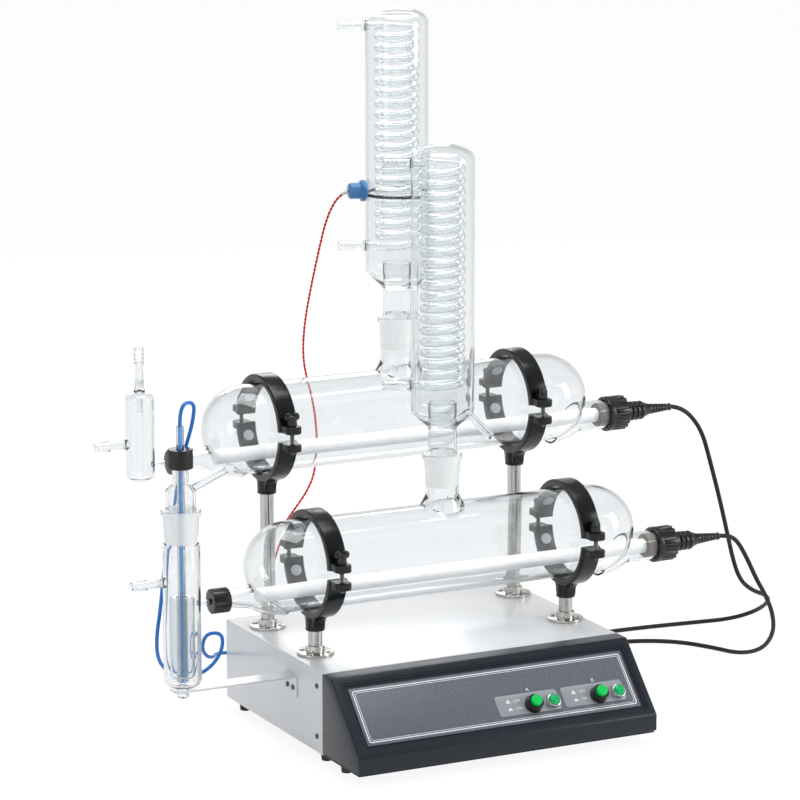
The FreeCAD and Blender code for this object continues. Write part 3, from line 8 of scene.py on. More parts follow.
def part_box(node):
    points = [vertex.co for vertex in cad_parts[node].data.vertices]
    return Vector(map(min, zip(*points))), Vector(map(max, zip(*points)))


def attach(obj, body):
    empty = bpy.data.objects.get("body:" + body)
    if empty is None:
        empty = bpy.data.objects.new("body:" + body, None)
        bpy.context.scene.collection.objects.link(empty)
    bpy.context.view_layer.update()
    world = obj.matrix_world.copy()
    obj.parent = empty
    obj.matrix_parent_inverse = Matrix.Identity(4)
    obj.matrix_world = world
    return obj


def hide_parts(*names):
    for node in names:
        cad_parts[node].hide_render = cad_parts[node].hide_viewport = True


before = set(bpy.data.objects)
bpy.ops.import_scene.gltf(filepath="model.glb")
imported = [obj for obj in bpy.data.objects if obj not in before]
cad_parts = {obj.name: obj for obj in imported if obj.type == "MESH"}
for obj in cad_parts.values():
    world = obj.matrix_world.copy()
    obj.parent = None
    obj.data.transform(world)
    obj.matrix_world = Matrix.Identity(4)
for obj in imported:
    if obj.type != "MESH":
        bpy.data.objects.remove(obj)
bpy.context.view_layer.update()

bl_info = {
    "name": "Glass water distiller",
    "version": (1, 0, 0),
    "blender": (4, 5, 0),
    "location": "3D View > Sidebar > Distiller",
    "description": "Builds the looks of a glass double water distiller around its packed frame",
    "category": "Object",
}

MM = 0.001
BASE = "base"
ROUND = 64
SMALL_ROUND = 32
ARC_STEPS = 6
MERGE = 1e-6
BOTH = (-1, 1)

# The sheet steel base, in millimetres from the origin under the middle of the case
CASE_LOW, CASE_HIGH = (Vector(corner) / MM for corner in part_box("base_case"))
CASE_SHEET = 1.2
CASE_TOP = CASE_HIGH.z
BEZEL_LOW, BEZEL_HIGH = (Vector(corner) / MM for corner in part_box("front_bezel"))
BEZEL_FLAT = 20.5
BEZEL_LIP = 17.9
BEZEL_WALL = 3.0
RECESS = (330.0, 76.0, 1.5)
RECESS_TOP = 10.0
PANEL = (321.0, 67.0, 1.5)
PANEL_TOP = 14.5
CONTROL_ROW = 63.0
SWITCHES = (37.5, 115.5)
LAMP_OFFSET = 23.0

# Posts, clamps and boilers
POST_X = (-148.0, 152.0)
POST_RADIUS = 7.5
POST_BORE = 6.3
SOCKET_REACH = 20.0
SIDES = ("left", "right")
RING_BORE = 50.5
RING_OUTER = 57.5
RING_WIDTH = 21.0
RING_GAP = 5.5
EAR_BOLT = 64.5
EAR_TIP = 9.0
EAR_THICK = 8.0
DRUM = 48.0
DRUM_HALF = 179.0
PORT_DROP = 27.0
JOINT = 17.25
JOINT_LENGTH = 35.0
JOINT_FOOT = JOINT - JOINT_LENGTH / 20
WALL = 2.2
THIN_WALL = 1.8
INLET_ROOT = 26.0
INLET_TAPER = 43.0
INLET_LENGTH = 19.0
NECK_START = 20.0
NECK_LENGTH = 73.0

# Each row: middle along X, place along Y, axis height, top of the socket, length of the condenser's stem
ROWS = {
    "front": {"x": 1.5, "y": -48.0, "z": 198.0, "collar": 300.0, "stem": 28.0, "body": "front_condenser"},
    "back": {"x": 7.5, "y": 70.0, "z": 320.0, "collar": 426.0, "stem": 32.0, "body": BASE},
}

# Condensers
JACKET = 33.5
SHOULDER = 17.0
JACKET_FOOT = 28.0
JACKET_HEAD = 20.0
DOME_DEPTH = 17.0
DOME_KNUCKLE = 12.0
STEM = 15.0
STEM_BORE = 13.2
STEM_RISE = 10.0
HOSE_AZIMUTH = 153.0
COIL_RADIUS = 20.0
COIL_PITCH = 11.8
COIL_TURNS = 20
COIL_TUBE = 4.2
HOSE_TIP = 5.6
HOSE_CORE = 4.7
HOSE_BORE = 3.3
HOSE_PITCH = 4.5
HOSE_RIDGES = 4

# Level devices on the left
CUP_AXIS = (-293.5, 70.0)
CONTROLLER_AXIS = (-299.5, -48.0)


# Colours and materials

def linear(code):
    """The linear value of an sRGB hex colour."""
    parts = [int(code[place:place + 2], 16) / 255 for place in (1, 3, 5)]
    return tuple(part / 12.92 if part <= 0.04045 else ((part + 0.055) / 1.055) ** 2.4 for part in parts)


def add_node(tree, kind, sockets=None, **settings):
    """A node with its settings made, and each named socket given a value or linked to another's output."""
    node = tree.nodes.new(kind)
    for name, value in settings.items():
        setattr(node, name, value)
    for name, value in (sockets or {}).items():
        if isinstance(value, bpy.types.NodeSocket):
            tree.links.new(value, node.inputs[name])
        else:
            node.inputs[name].default_value = value
    return node


def new_material(name, colour, roughness, **sockets):
    """A material with one surface shader. Returns the material, its tree and the shader."""
    material = bpy.data.materials.new(name)
    material.use_nodes = True
    tree = material.node_tree
    shader = tree.nodes["Principled BSDF"]
    shader.inputs["Base Color"].default_value = (*colour, 1)
    shader.inputs["Roughness"].default_value = roughness
    for words, value in sockets.items():
        shader.inputs[words.replace("_", " ").title().replace("Ior", "IOR")].default_value = value
    return material, tree, shader


def grain(tree, size, detail=2.0, stretch=(1, 1, 1)):
    """Noise whose lumps are of a given size in millimetres, on the piece's own coordinates."""
    place = add_node(tree, "ShaderNodeTexCoord")
    turned = add_node(tree, "ShaderNodeMapping", {"Vector": place.outputs["Object"], "Scale": stretch})
    return add_node(tree, "ShaderNodeTexNoise", {
        "Vector": turned.outputs["Vector"], "Scale": 1 / (size * MM), "Detail": detail})


def vary(tree, shader, source, dark, light, low=0.35, high=0.65):
    """Colour that drifts between two near shades with a pattern."""
    ramp = add_node(tree, "ShaderNodeValToRGB", {"Fac": source})
    ramp.color_ramp.elements[0].position = low
    ramp.color_ramp.elements[0].color = (*dark, 1)
    ramp.color_ramp.elements[1].position = high
    ramp.color_ramp.elements[1].color = (*light, 1)
    tree.links.new(ramp.outputs["Color"], shader.inputs["Base Color"])


def roughen(tree, shader, source, low, high):
    """Roughness that drifts between two values with a pattern."""
    spread = add_node(tree, "ShaderNodeMapRange", {"Value": source, "To Min": low, "To Max": high})
    tree.links.new(spread.outputs["Result"], shader.inputs["Roughness"])


def bump(tree, shader, source, height, strength=1.0):
    """Relief of a height in millimetres from a pattern."""
    relief = add_node(tree, "ShaderNodeBump", {"Height": source, "Distance": height * MM, "Strength": strength})
    tree.links.new(relief.outputs["Normal"], shader.inputs["Normal"])


def shade(colour, amount):
    return tuple(part * amount for part in colour)


def painted_steel(name, colour, gloss, coat=0.25, specular=0.5):
    """Stoved enamel on sheet steel: a satin skin with faint orange peel about 1.5 mm across."""
    material, tree, shader = new_material(
        name, colour, gloss, coat_weight=coat, coat_roughness=0.14, specular_ior_level=specular)
    peel = grain(tree, 1.5, 1.0)
    drift = grain(tree, 60.0, 1.0)
    vary(tree, shader, drift.outputs["Fac"], shade(colour, 0.97), colour)
    roughen(tree, shader, peel.outputs["Fac"], gloss - 0.04, gloss + 0.05)
    bump(tree, shader, peel.outputs["Fac"], 0.012)
    return material


def screen_printed_panel(colour):
    """Anodised aluminium fascia, fine grey speckle of 0.8 mm drawn coarse enough to show."""
    material, tree, shader = new_material("speckled_fascia", colour, 0.42)
    speckle = grain(tree, 0.9, 4.0)
    vary(tree, shader, speckle.outputs["Fac"], shade(colour, 0.72), shade(colour, 1.32), 0.38, 0.66)
    roughen(tree, shader, speckle.outputs["Fac"], 0.36, 0.5)
    bump(tree, shader, speckle.outputs["Fac"], 0.02)
    return material


def moulded_plastic(name, colour, gloss, texture=2.0, height=0.01, **sockets):
    """Injection moulded plastic: even colour, soft flow marks and a slightly uneven gloss."""
    material, tree, shader = new_material(name, colour, gloss, ior=1.5, **sockets)
    flow = grain(tree, texture, 2.0)
    vary(tree, shader, flow.outputs["Fac"], shade(colour, 0.95), colour)
    roughen(tree, shader, flow.outputs["Fac"], max(gloss - 0.05, 0.02), gloss + 0.06)
    bump(tree, shader, flow.outputs["Fac"], height)
    return material


def brushed_stainless(name, colour, stretch):
    """Stainless tube drawn through a die: hair lines 0.3 mm apart along its length."""
    material, tree, shader = new_material(name, colour, 0.2, metallic=1.0)
    lines = grain(tree, 0.35, 2.0, stretch)
    vary(tree, shader, lines.outputs["Fac"], shade(colour, 0.86), colour, 0.3, 0.7)
    roughen(tree, shader, lines.outputs["Fac"], 0.14, 0.3)
    bump(tree, shader, lines.outputs["Fac"], 0.004)
    return material


def polished_metal(name, colour, gloss):
    """Turned and polished metal with light handling marks."""
    material, tree, shader = new_material(name, colour, gloss, metallic=1.0)
    marks = grain(tree, 4.0, 5.0)
    roughen(tree, shader, marks.outputs["Fac"], gloss * 0.7, gloss * 1.6)
    bump(tree, shader, marks.outputs["Fac"], 0.003)
    return material


def blown_glass(name, edge, clear, ior=1.47):
    """Borosilicate glass: clear face on, with painted shade that makes it greyer where the wall is seen along its
    thickness.
    """
    material, tree, shader = new_material(
        name, clear, 0.0, ior=ior, transmission_weight=1.0)
    # Painted shade: the base colour runs from the clear colour face on to the edge grey at grazing angles, standing in
    # for the dark outlines of the walls.
    facing = add_node(tree, "ShaderNodeLayerWeight", {"Blend": 0.3})
    ramp = add_node(tree, "ShaderNodeValToRGB", {"Fac": facing.outputs["Facing"]})
    ramp.color_ramp.elements[0].position = 0.4
    ramp.color_ramp.elements[0].color = (*clear, 1)
    ramp.color_ramp.elements[1].position = 0.85
    ramp.color_ramp.elements[1].color = (*edge, 1)
    tree.links.new(ramp.outputs["Color"], shader.inputs["Base Color"])
    ripple = grain(tree, 22.0, 0.0)
    bump(tree, shader, ripple.outputs["Fac"], 0.05)
    return material


def ground_glass(colour):
    """Ground joint: the cone is lapped with 0.1 mm grit, so it scatters light and looks milky."""
    material, tree, shader = new_material(
        "ground_joint_glass", colour, 0.5, ior=1.3, transmission_weight=0.62)
    grit = grain(tree, 0.6, 3.0)
    vary(tree, shader, grit.outputs["Fac"], shade(colour, 0.93), colour)
    roughen(tree, shader, grit.outputs["Fac"], 0.35, 0.5)
    bump(tree, shader, grit.outputs["Fac"], 0.02)
    return material


def make_materials(look):
    """Every finish on the object, by its slot or a name of its own."""
    upright, lengthwise = (1, 1, 0.02), (0.02, 1, 1)
    return {
        "white_steel": painted_steel("white_enamel", look.enamel, 0.3, 0.4),
        "dark_steel": painted_steel("charcoal_paint", look.charcoal, 0.34, 0.0, 0.35),
        "panel": screen_printed_panel(look.fascia),
        "plate": painted_steel("grey_label_paint", linear("#999da4"), 0.4),
        "print": painted_steel("white_print", linear("#eceef0"), 0.45),
        "black_plastic": moulded_plastic("black_glass_filled_nylon", look.clamp, 0.2, 1.2, 0.012, specular_ior_level=0.35),
        "cap_plastic": moulded_plastic("black_phenolic_cap", look.clamp, 0.28, 2.5, 0.01),
        "green_plastic": moulded_plastic("green_push_cap", look.button, 0.3, specular_ior_level=0.3),
        "green_lens": moulded_plastic("green_lamp_lens", look.lens, 0.08, 3.0, 0.002,
                                      transmission_weight=0.35),
        "chrome": polished_metal("chromed_brass", linear("#d9dadb"), 0.07),
        "steel": brushed_stainless("drawn_stainless", linear("#c3c1bd"), upright),
        "flange": polished_metal("turned_stainless", linear("#c4c2be"), 0.16),
        "screw": polished_metal("blackened_screw", linear("#57565a"), 0.3),
        "stud": brushed_stainless("zinc_plated_stud", linear("#b9b8b4"), lengthwise),
        "rubber": moulded_plastic("black_rubber", linear("#141414"), 0.6, 1.5, 0.02),
        "stopper": moulded_plastic("grey_stopper_rubber", linear("#716a63"), 0.55, 3.0, 0.02),
        # The first colour given to each blown glass is painted edge shade, the second its clear colour.
        "glass": blown_glass("borosilicate_glass", look.glass_edge_shade, look.glass),
        "coil_glass": blown_glass("coil_glass", linear("#878f95"), linear("#f7f9f9"), 1.42),
        "ground": ground_glass(linear("#fbfcfc")),
        "quartz": moulded_plastic("milky_quartz", look.quartz, 0.25, 8.0, 0.02, coat_weight=0.6),
        "pad": moulded_plastic("silicone_pad", linear("#b7c0c8"), 0.4, 3.0, 0.01),
        "blue_plastic": moulded_plastic("blue_polyester_body", look.thermostat, 0.35),
        # Painted edge shade on the float too, a lighter grey than on the flasks.
        "float": blown_glass("float_glass", linear("#b4bac0"), linear("#eef1f3"), 1.25),
        "sensor_blue": moulded_plastic("blue_sensor_sleeve", linear("#3f95de"), 0.4),
        "red_cord": moulded_plastic("red_wire_insulation", look.wire, 0.4, 1.5, 0.01),
        "blue_cord": moulded_plastic("blue_lead_insulation", look.lead, 0.35, 2.0, 0.01),
        "black_cord": moulded_plastic("black_rubber_lead", linear("#0c0d0f"), 0.45, 2.0, 0.02,
                                      specular_ior_level=0.35),
        "sleeve": moulded_plastic("white_sleeve", linear("#e9e7e2"), 0.5),
        "board": moulded_plastic("circuit_board", linear("#1f6a3c"), 0.4, 2.0, 0.05),
    }


# Modelling helpers

def deselect():
    bpy.ops.object.select_all(action="DESELECT")


def pick(*pieces):
    """Select these pieces alone, the first of them active."""
    deselect()
    for piece in pieces:
        piece.select_set(True)
    bpy.context.view_layer.objects.active = pieces[0]
    return pieces[0]


def edit():
    bpy.ops.object.mode_set(mode="EDIT")


def leave_edit():
    bpy.ops.object.mode_set(mode="OBJECT")
    return bpy.context.object


def join(pieces):
    pick(*pieces)
    if len(pieces) > 1:
        bpy.ops.object.join()
    return bpy.context.object


def settle(piece, place):
    """Give a piece its place and leave it in the mesh, with the object at the origin."""
    pick(piece)
    piece.matrix_world = place
    bpy.ops.object.transform_apply(location=True, rotation=True, scale=True)
    return piece


def copy_to(piece, place):
    """A copy of a piece with a mesh of its own, at a place."""
    pick(piece)
    bpy.ops.object.duplicate(linked=False)
    return settle(bpy.context.object, place)


def at(x, y, z):
    return Matrix.Translation(Vector((x, y, z)) * MM)


def aim(x, y, z, towards):
    """A place at a point with the Z axis along a direction."""
    return at(x, y, z) @ Vector(towards).to_track_quat("Z", "Y").to_matrix().to_4x4()


def heading(angle, rise=0.0):
    """Unit vector at an angle from X in plan, rising by a second angle."""
    turn, lift = math.radians(angle), math.radians(rise)
    return Vector((math.cos(turn) * math.cos(lift), math.sin(turn) * math.cos(lift), math.sin(lift)))


ALONG_X = Vector((1, 0, 0))
ALONG_Y = Vector((0, 1, 0))
SIDE_ON = Matrix(((0, 0, 1, 0), (1, 0, 0, 0), (0, 1, 0, 0), (0, 0, 0, 1)))

SLOPE_TOP = Vector((0, CASE_LOW.y - BEZEL_FLAT, CASE_TOP))
SLOPE_FOOT = Vector((0, BEZEL_LOW.y, BEZEL_LOW.z + BEZEL_LIP))
DOWN_SLOPE = (SLOPE_FOOT - SLOPE_TOP).normalized()
OFF_SLOPE = Vector((0, DOWN_SLOPE.z, -DOWN_SLOPE.y))


def on_slope(x, down, out=0.0):
    """A place on the sloping panel: Y runs up the slope and Z stands off it."""
    spot = (SLOPE_TOP + DOWN_SLOPE * down + OFF_SLOPE * out + Vector((x, 0, 0))) * MM
    turn = Matrix((ALONG_X, -DOWN_SLOPE, OFF_SLOPE)).transposed().to_4x4()
    return Matrix.Translation(spot) @ turn


def rounded(points, steps=ARC_STEPS):
    """An outline whose corners with a third value are arcs of that radius."""
    outline = [tuple(points[0][:2])]
    for before, corner, after in zip(points, points[1:], points[2:]):
        spot = Vector(corner[:2])
        if len(corner) < 3:
            outline.append(tuple(spot))
            continue
        back, ahead = Vector(before[:2]) - spot, Vector(after[:2]) - spot
        half = (math.pi - back.angle(ahead)) / 2
        leg = min(corner[2] * math.tan(half), 0.49 * back.length, 0.49 * ahead.length)
        start, end = spot + back.normalized() * leg, spot + ahead.normalized() * leg
        for step in range(steps + 1):
            along = step / steps
            shares = ((1 - along) ** 2, 2 * along * (1 - along) * math.cos(half), along ** 2)
            point = (start * shares[0] + spot * shares[1] + end * shares[2]) / sum(shares)
            outline.append(tuple(point))
    outline.append(tuple(points[-1][:2]))
    return outline


def dome(radius, tip, depth, knuckle, steps=8):
    """Crown and knuckle arcs from the axis out to the wall. A negative depth makes a bowl."""
    sign, deep = math.copysign(1, depth), abs(depth)
    crown = ((radius - knuckle) ** 2 + deep ** 2 - knuckle ** 2) / (2 * (deep - knuckle))
    meet = math.asin((radius - knuckle) / (crown - knuckle))
    points = [(crown * math.sin(meet * step / steps),
               tip - sign * crown * (1 - math.cos(meet * step / steps))) for step in range(steps + 1)]
    for step in range(1, steps + 1):
        angle = meet + (math.pi / 2 - meet) * step / steps
        points.append((radius - knuckle + knuckle * math.sin(angle),
                       tip - depth + sign * knuckle * math.cos(angle)))
    return points


def pen(points):
    """Draw a chain of edges through points, one extrusion after another, and stay in edit mode."""
    deselect()
    bpy.ops.mesh.primitive_plane_add(size=MM)
    edit()
    bpy.ops.mesh.select_mode(type="VERT")
    bpy.ops.mesh.select_all(action="SELECT")
    bpy.ops.mesh.merge(type="CENTER")
    spots = [Vector(point) * MM for point in points]
    bpy.ops.transform.translate(value=spots[0])
    for here, there in zip(spots, spots[1:]):
        bpy.ops.mesh.extrude_region_move(TRANSFORM_OT_translate={"value": there - here})
    bpy.ops.mesh.select_all(action="SELECT")


def lathe(outline, steps=ROUND):
    """Turn an outline of (radius, height) about Z."""
    pen([(radius, 0, height) for radius, height in outline])
    bpy.ops.mesh.spin(steps=steps, angle=2 * math.pi, center=(0, 0, 0), axis=(0, 0, 1))
    bpy.ops.mesh.select_all(action="SELECT")
    bpy.ops.mesh.remove_doubles(threshold=MERGE)
    bpy.ops.mesh.normals_make_consistent(inside=False)
    return leave_edit()


def prism(outline, length):
    """Draw a closed outline on XY out along Z."""
    pen([(across, up, 0) for across, up in outline])
    bpy.ops.mesh.remove_doubles(threshold=MERGE)
    bpy.ops.mesh.edge_face_add()
    bpy.ops.mesh.extrude_region_move(TRANSFORM_OT_translate={"value": (0, 0, length * MM)})
    bpy.ops.mesh.select_all(action="SELECT")
    bpy.ops.mesh.normals_make_consistent(inside=False)
    return leave_edit()


def plate_outline(width, height, corner):
    """A rectangle with rounded corners, about its middle, closed."""
    x, y = width / 2, height / 2
    return rounded([(0, -y), (x, -y, corner), (x, y, corner), (-x, y, corner), (-x, -y, corner), (0, -y)])


def block(low, high):
    """A box between two corners in millimetres."""
    low, high = Vector(low) * MM, Vector(high) * MM
    deselect()
    bpy.ops.mesh.primitive_cube_add(size=1, location=(low + high) / 2, scale=high - low)
    bpy.ops.object.transform_apply(location=True, rotation=True, scale=True)
    return bpy.context.object


def modify(piece, kind, **settings):
    """Add a modifier and apply it."""
    pick(piece)
    bpy.ops.object.modifier_add(type=kind)
    modifier = piece.modifiers[-1]
    for name, value in settings.items():
        setattr(modifier, name, value)
    bpy.ops.object.modifier_apply(modifier=modifier.name)
    return piece


def soften(piece, width, segments=3, angle=30):
    """Round every edge sharper than an angle."""
    return modify(piece, "BEVEL", width=width * MM, segments=segments, limit_method="ANGLE",
                  angle_limit=math.radians(angle), use_clamp_overlap=True)


def carve(piece, tools, operation="DIFFERENCE"):
    """Cut tools out of a piece, or join them to it, and use them up."""
    for tool in tools:
        modify(piece, "BOOLEAN", operation=operation, object=tool, solver="EXACT")
        bpy.data.objects.remove(tool)
    return piece


def vessel(outers, inners):
    """One glass body: the outer shapes joined, and hollowed by the inner ones."""
    shell = carve(outers[0], outers[1:], "UNION")
    hollow = carve(inners[0], inners[1:], "UNION")
    return carve(shell, [hollow])


def rod(radius, start, end, steps=SMALL_ROUND, edge=0.0):
    """A plain round bar along Z, with softened rims."""
    return lathe(rounded([(0, start), (radius, start, edge), (radius, end, edge), (0, end)])
                 if edge else [(0, start), (radius, start), (radius, end), (0, end)], steps)


def ribbed_cap(radius, rib, count, length, edge=0.8):
    """A screw cap's body along Z with grip ribs, its rims rounded."""
    deselect()
    each = 6
    bpy.ops.mesh.primitive_circle_add(vertices=count * each, radius=radius * MM, fill_type="NGON")
    piece = bpy.context.object
    for index, vertex in enumerate(piece.data.vertices):
        vertex.select = index % each in (0, 1, 2)
    edit()
    bpy.ops.mesh.select_mode(type="VERT")
    bpy.ops.mesh.select_all(action="DESELECT")
    leave_edit()
    for index, vertex in enumerate(piece.data.vertices):
        vertex.select = index % each in (0, 1, 2)
    edit()
    scale = (radius + rib) / radius
    bpy.ops.transform.resize(value=(scale, scale, 1))
    bpy.ops.mesh.select_all(action="SELECT")
    bpy.ops.mesh.extrude_region_move(TRANSFORM_OT_translate={"value": (0, 0, length * MM)})
    bpy.ops.mesh.select_all(action="SELECT")
    bpy.ops.mesh.normals_make_consistent(inside=False)
    leave_edit()
    return soften(piece, edge, 3, 60)


def finish(piece, name, body, materials, nodes=(), smooth=35):
    """Name a piece, shade it, give it its finish, say what it rides on and hide the nodes it stands for."""
    piece.name = piece.data.name = name
    pick(piece)
    bpy.ops.object.shade_smooth_by_angle(angle=math.radians(smooth))
    if not isinstance(materials, (list, tuple)):
        materials = [materials]
    piece.data.materials.clear()
    for material in materials:
        piece.data.materials.append(FINISHES[material])
    piece.visible_shadow = materials[0] not in ("glass", "coil_glass", "float")
    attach(piece, body)
    if nodes:
        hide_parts(*nodes)
    return piece


def paint(piece, index, test):
    """Give the faces that pass a test, by their middle and normal in millimetres, another finish."""
    for face in piece.data.polygons:
        if test(face.center / MM, face.normal):
            face.material_index = index


FINISHES = {}


class DistillerLook(bpy.types.PropertyGroup):
    """Sizes and colours of the distiller's looks that a user may change"""
    case_edge: FloatProperty(
        name="Case edge", description="Bend radius of the sheet steel case", default=0.0022, unit="LENGTH")
    bezel_edge: FloatProperty(
        name="Bezel edge", description="Rounding of the front bezel", default=0.0014, unit="LENGTH")
    clamp_edge: FloatProperty(
        name="Clamp edge", description="Rounding of the clamp mouldings", default=0.0012, unit="LENGTH")
    border_line: FloatProperty(
        name="Border line", description="Width of the printed line round the panel", default=0.0012,
        unit="LENGTH")
    coil_wall: FloatProperty(
        name="Coil wall", description="Wall of the glass spiral", default=0.0011, unit="LENGTH")
    strand_pitch: FloatProperty(
        name="Strand pitch", description="Length of one twist of the thermostat wire", default=0.0095,
        unit="LENGTH")
    enamel: FloatVectorProperty(
        name="Enamel", description="White of the case", subtype="COLOR", default=linear("#dfe1e3"))
    charcoal: FloatVectorProperty(
        name="Charcoal", description="Dark grey of the bezel", subtype="COLOR", default=linear("#18202a"))
    fascia: FloatVectorProperty(
        name="Fascia", description="Grey of the panel", subtype="COLOR", default=linear("#606671"))
    clamp: FloatVectorProperty(
        name="Clamps", description="Black of clamps and caps", subtype="COLOR", default=linear("#0b0c0e"))
    button: FloatVectorProperty(
        name="Buttons", description="Green of the push caps", subtype="COLOR", default=linear("#00d05c"))
    lens: FloatVectorProperty(
        name="Lamps", description="Green of the lamp lenses", subtype="COLOR", default=linear("#00da7c"))
    glass: FloatVectorProperty(
        name="Glass", description="Glass seen face on", subtype="COLOR", default=linear("#f3f5f6"))
    # Painted shade: the grey the glass is painted where its wall is seen edge on.
    glass_edge_shade: FloatVectorProperty(
        name="Glass edge", description="Glass seen along its wall", subtype="COLOR",
        default=linear("#747b82"))
    quartz: FloatVectorProperty(
        name="Quartz", description="White of the heaters", subtype="COLOR", default=linear("#fafafa"))
    thermostat: FloatVectorProperty(
        name="Thermostat", description="Blue of the thermostat", subtype="COLOR", default=linear("#4783be"))
    wire: FloatVectorProperty(
        name="Wire", description="Red of the thermostat wire", subtype="COLOR", default=linear("#e0181c"))
    lead: FloatVectorProperty(
        name="Lead", description="Blue of the sensor lead", subtype="COLOR", default=linear("#1479d0"))


# Cords

FRONT_LEAD = [
    (344.5, -48, 171), (355, -48, 170.3), (365, -48, 165.5), (373, -48, 155.5), (383, -48, 138),
    (394, -48, 116), (408, -46, 95), (422, -40, 70), (432, -26, 43), (434, 0, 18), (428, 38, 4),
    (415, 80, 3), (392, 118, 3), (352, 142, 3), (300, 151, 3), (245, 155, 3), (200, 158, 3),
    (178, 163, 3), (160, 167, 8), (149, 168, 18), (145, 168, 37), (145, 155, 50), (145, 136, 50),
]
BACK_LEAD = [
    (350.5, 70, 293), (360.5, 70, 291.5), (377, 70, 281), (393, 70, 259), (404, 70, 224), (416, 70, 184),
    (427, 70, 143), (437, 70, 104), (447, 70, 80), (464, 71, 66), (486, 78, 57), (504, 97, 43),
    (508, 129, 23), (492, 161, 7), (450, 180, 3), (392, 187, 3), (334, 190, 3), (276, 190.5, 3),
    (218, 188, 3), (168, 182, 3), (142, 176, 4), (125, 171, 10), (114, 168, 20), (110, 168, 37),
    (110, 155, 50), (110, 136, 50),
]
THERMOSTAT_WIRE = [
    (-44.4, 82, 564), (-51, 84.5, 561), (-58, 91, 550), (-63, 99, 530), (-67, 107, 500), (-71, 115, 466),
    (-75, 122, 432), (-77, 127, 400), (-76, 129, 372), (-69, 129, 344), (-63, 128, 312),
    (-61, 128, 280), (-63, 128, 250), (-72, 128, 230), (-86, 129, 212), (-99, 132, 194),
    (-106, 137, 170), (-109, 145, 142), (-110, 155, 114), (-110, 163, 92), (-110, 158, 73),
    (-110, 147, 70), (-110, 136, 70),
]
SENSOR_LEAD = [
    (-299.5, -48, 359.5), (-299.4, -47.7, 382), (-279.4, -41, 382), (-280, -36, 358), (-287, -30, 328),
    (-294, -25, 292), (-301, -20, 246), (-306, -17, 200), (-309, -14, 160),
    (-312, -9, 128), (-307, 0, 102), (-290, 14, 82), (-266, 30, 70), (-240, 45, 65), (-219, 56, 70),
    (-205, 62, 84), (-203, 66, 101), (-219, 73, 101), (-222, 79, 84), (-213, 87, 71), (-200, 100, 65),
    (-189, 120, 60), (-178, 142, 55), (-162, 156, 51), (-146, 154, 50), (-140, 136, 50),
]


def route(name, points, diameter=0.0):
    """A smooth line with the route's points as its control points, and a round section where it has one."""
    curve = bpy.data.curves.new(name, "CURVE")
    curve.dimensions = "3D"
    spline = curve.splines.new("NURBS")
    spline.points.add(len(points) - 1)
    for control, point in zip(spline.points, points):
        control.co = (*(Vector(point) * MM), 1)
    spline.order_u = 3
    spline.use_endpoint_u = True
    spline.resolution_u = 12
    curve.bevel_depth = diameter / 2 * MM
    curve.bevel_resolution = 4
    curve.use_fill_caps = diameter > 0
    piece = bpy.data.objects.new(name, curve)
    bpy.context.scene.collection.objects.link(piece)
    return piece


def line_of(piece):
    """Points along a route, read from its own line."""
    mesh = bpy.data.meshes.new_from_object(piece)
    points = [vertex.co.copy() for vertex in mesh.vertices]
    bpy.data.meshes.remove(mesh)
    return points


def length_of(points):
    return sum((there - here).length for here, there in zip(points, points[1:]))


def plain_cord(name, node, points, diameter, slot):
    """A single round cord between two places on the object."""
    centre = route(name + "_centre", points)
    length = length_of(line_of(centre))
    bpy.data.objects.remove(centre)
    piece = route(name, points, diameter)
    piece.data.materials.append(FINISHES[slot])
    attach(piece, BASE)
    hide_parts(node)
    return piece


def twisted_wire(name, node, points, diameter, pitch):
    """Two insulated strands wound round each other along a route."""
    centre = route(name + "_centre", points)
    line = line_of(centre)
    bpy.data.objects.remove(centre)
    strand = diameter / 4 * MM
    fine = [here.lerp(there, part / 3) for here, there in zip(line, line[1:]) for part in range(3)]
    fine.append(line[-1])
    strands = []
    for start in (0, math.pi):
        side, travelled, spots = Vector((0, 0, 1)), 0.0, []
        for index, here in enumerate(fine):
            ahead = (fine[min(index + 1, len(fine) - 1)] - fine[max(index - 1, 0)]).normalized()
            side = (side - ahead * side.dot(ahead)).normalized()
            across = ahead.cross(side)
            turn = start + 2 * math.pi * travelled / pitch
            spots.append(here + (side * math.cos(turn) + across * math.sin(turn)) * strand)
            if index + 1 < len(fine):
                travelled += (fine[index + 1] - here).length
        curve = bpy.data.curves.new(name, "CURVE")
        curve.dimensions = "3D"
        spline = curve.splines.new("POLY")
        spline.points.add(len(spots) - 1)
        for control, spot in zip(spline.points, spots):
            control.co = (*spot, 1)
        curve.bevel_depth = strand * 1.08
        curve.bevel_resolution = 2
        curve.use_fill_caps = True
        piece = bpy.data.objects.new(name, curve)
        bpy.context.scene.collection.objects.link(piece)
        pick(piece)
        bpy.ops.object.convert(target="MESH")
        strands.append(bpy.context.object)
    piece = join(strands)
    finish(piece, name, BASE, "red_cord", [node], 60)
    return piece


class DISTILLER_OT_cords(bpy.types.Operator):
    """Lay the two heater leads, the sensor lead and the twisted thermostat wire"""
    bl_idname = "distiller.cords"
    bl_label = "Cords"

    def execute(self, context):
        look = context.scene.distiller_look
        plain_cord("front_heater_cable", "front_heater_lead", FRONT_LEAD, 5.0, "black_cord")
        plain_cord("back_heater_cable", "back_heater_lead", BACK_LEAD, 5.0, "black_cord")
        plain_cord("level_sensor_cable", "sensor_lead", SENSOR_LEAD, 4.0, "blue_cord")
        twisted_wire("thermostat_twisted_wire", "thermostat_wire", THERMOSTAT_WIRE, 2.6, look.strand_pitch)
        return {"FINISHED"}


# Base

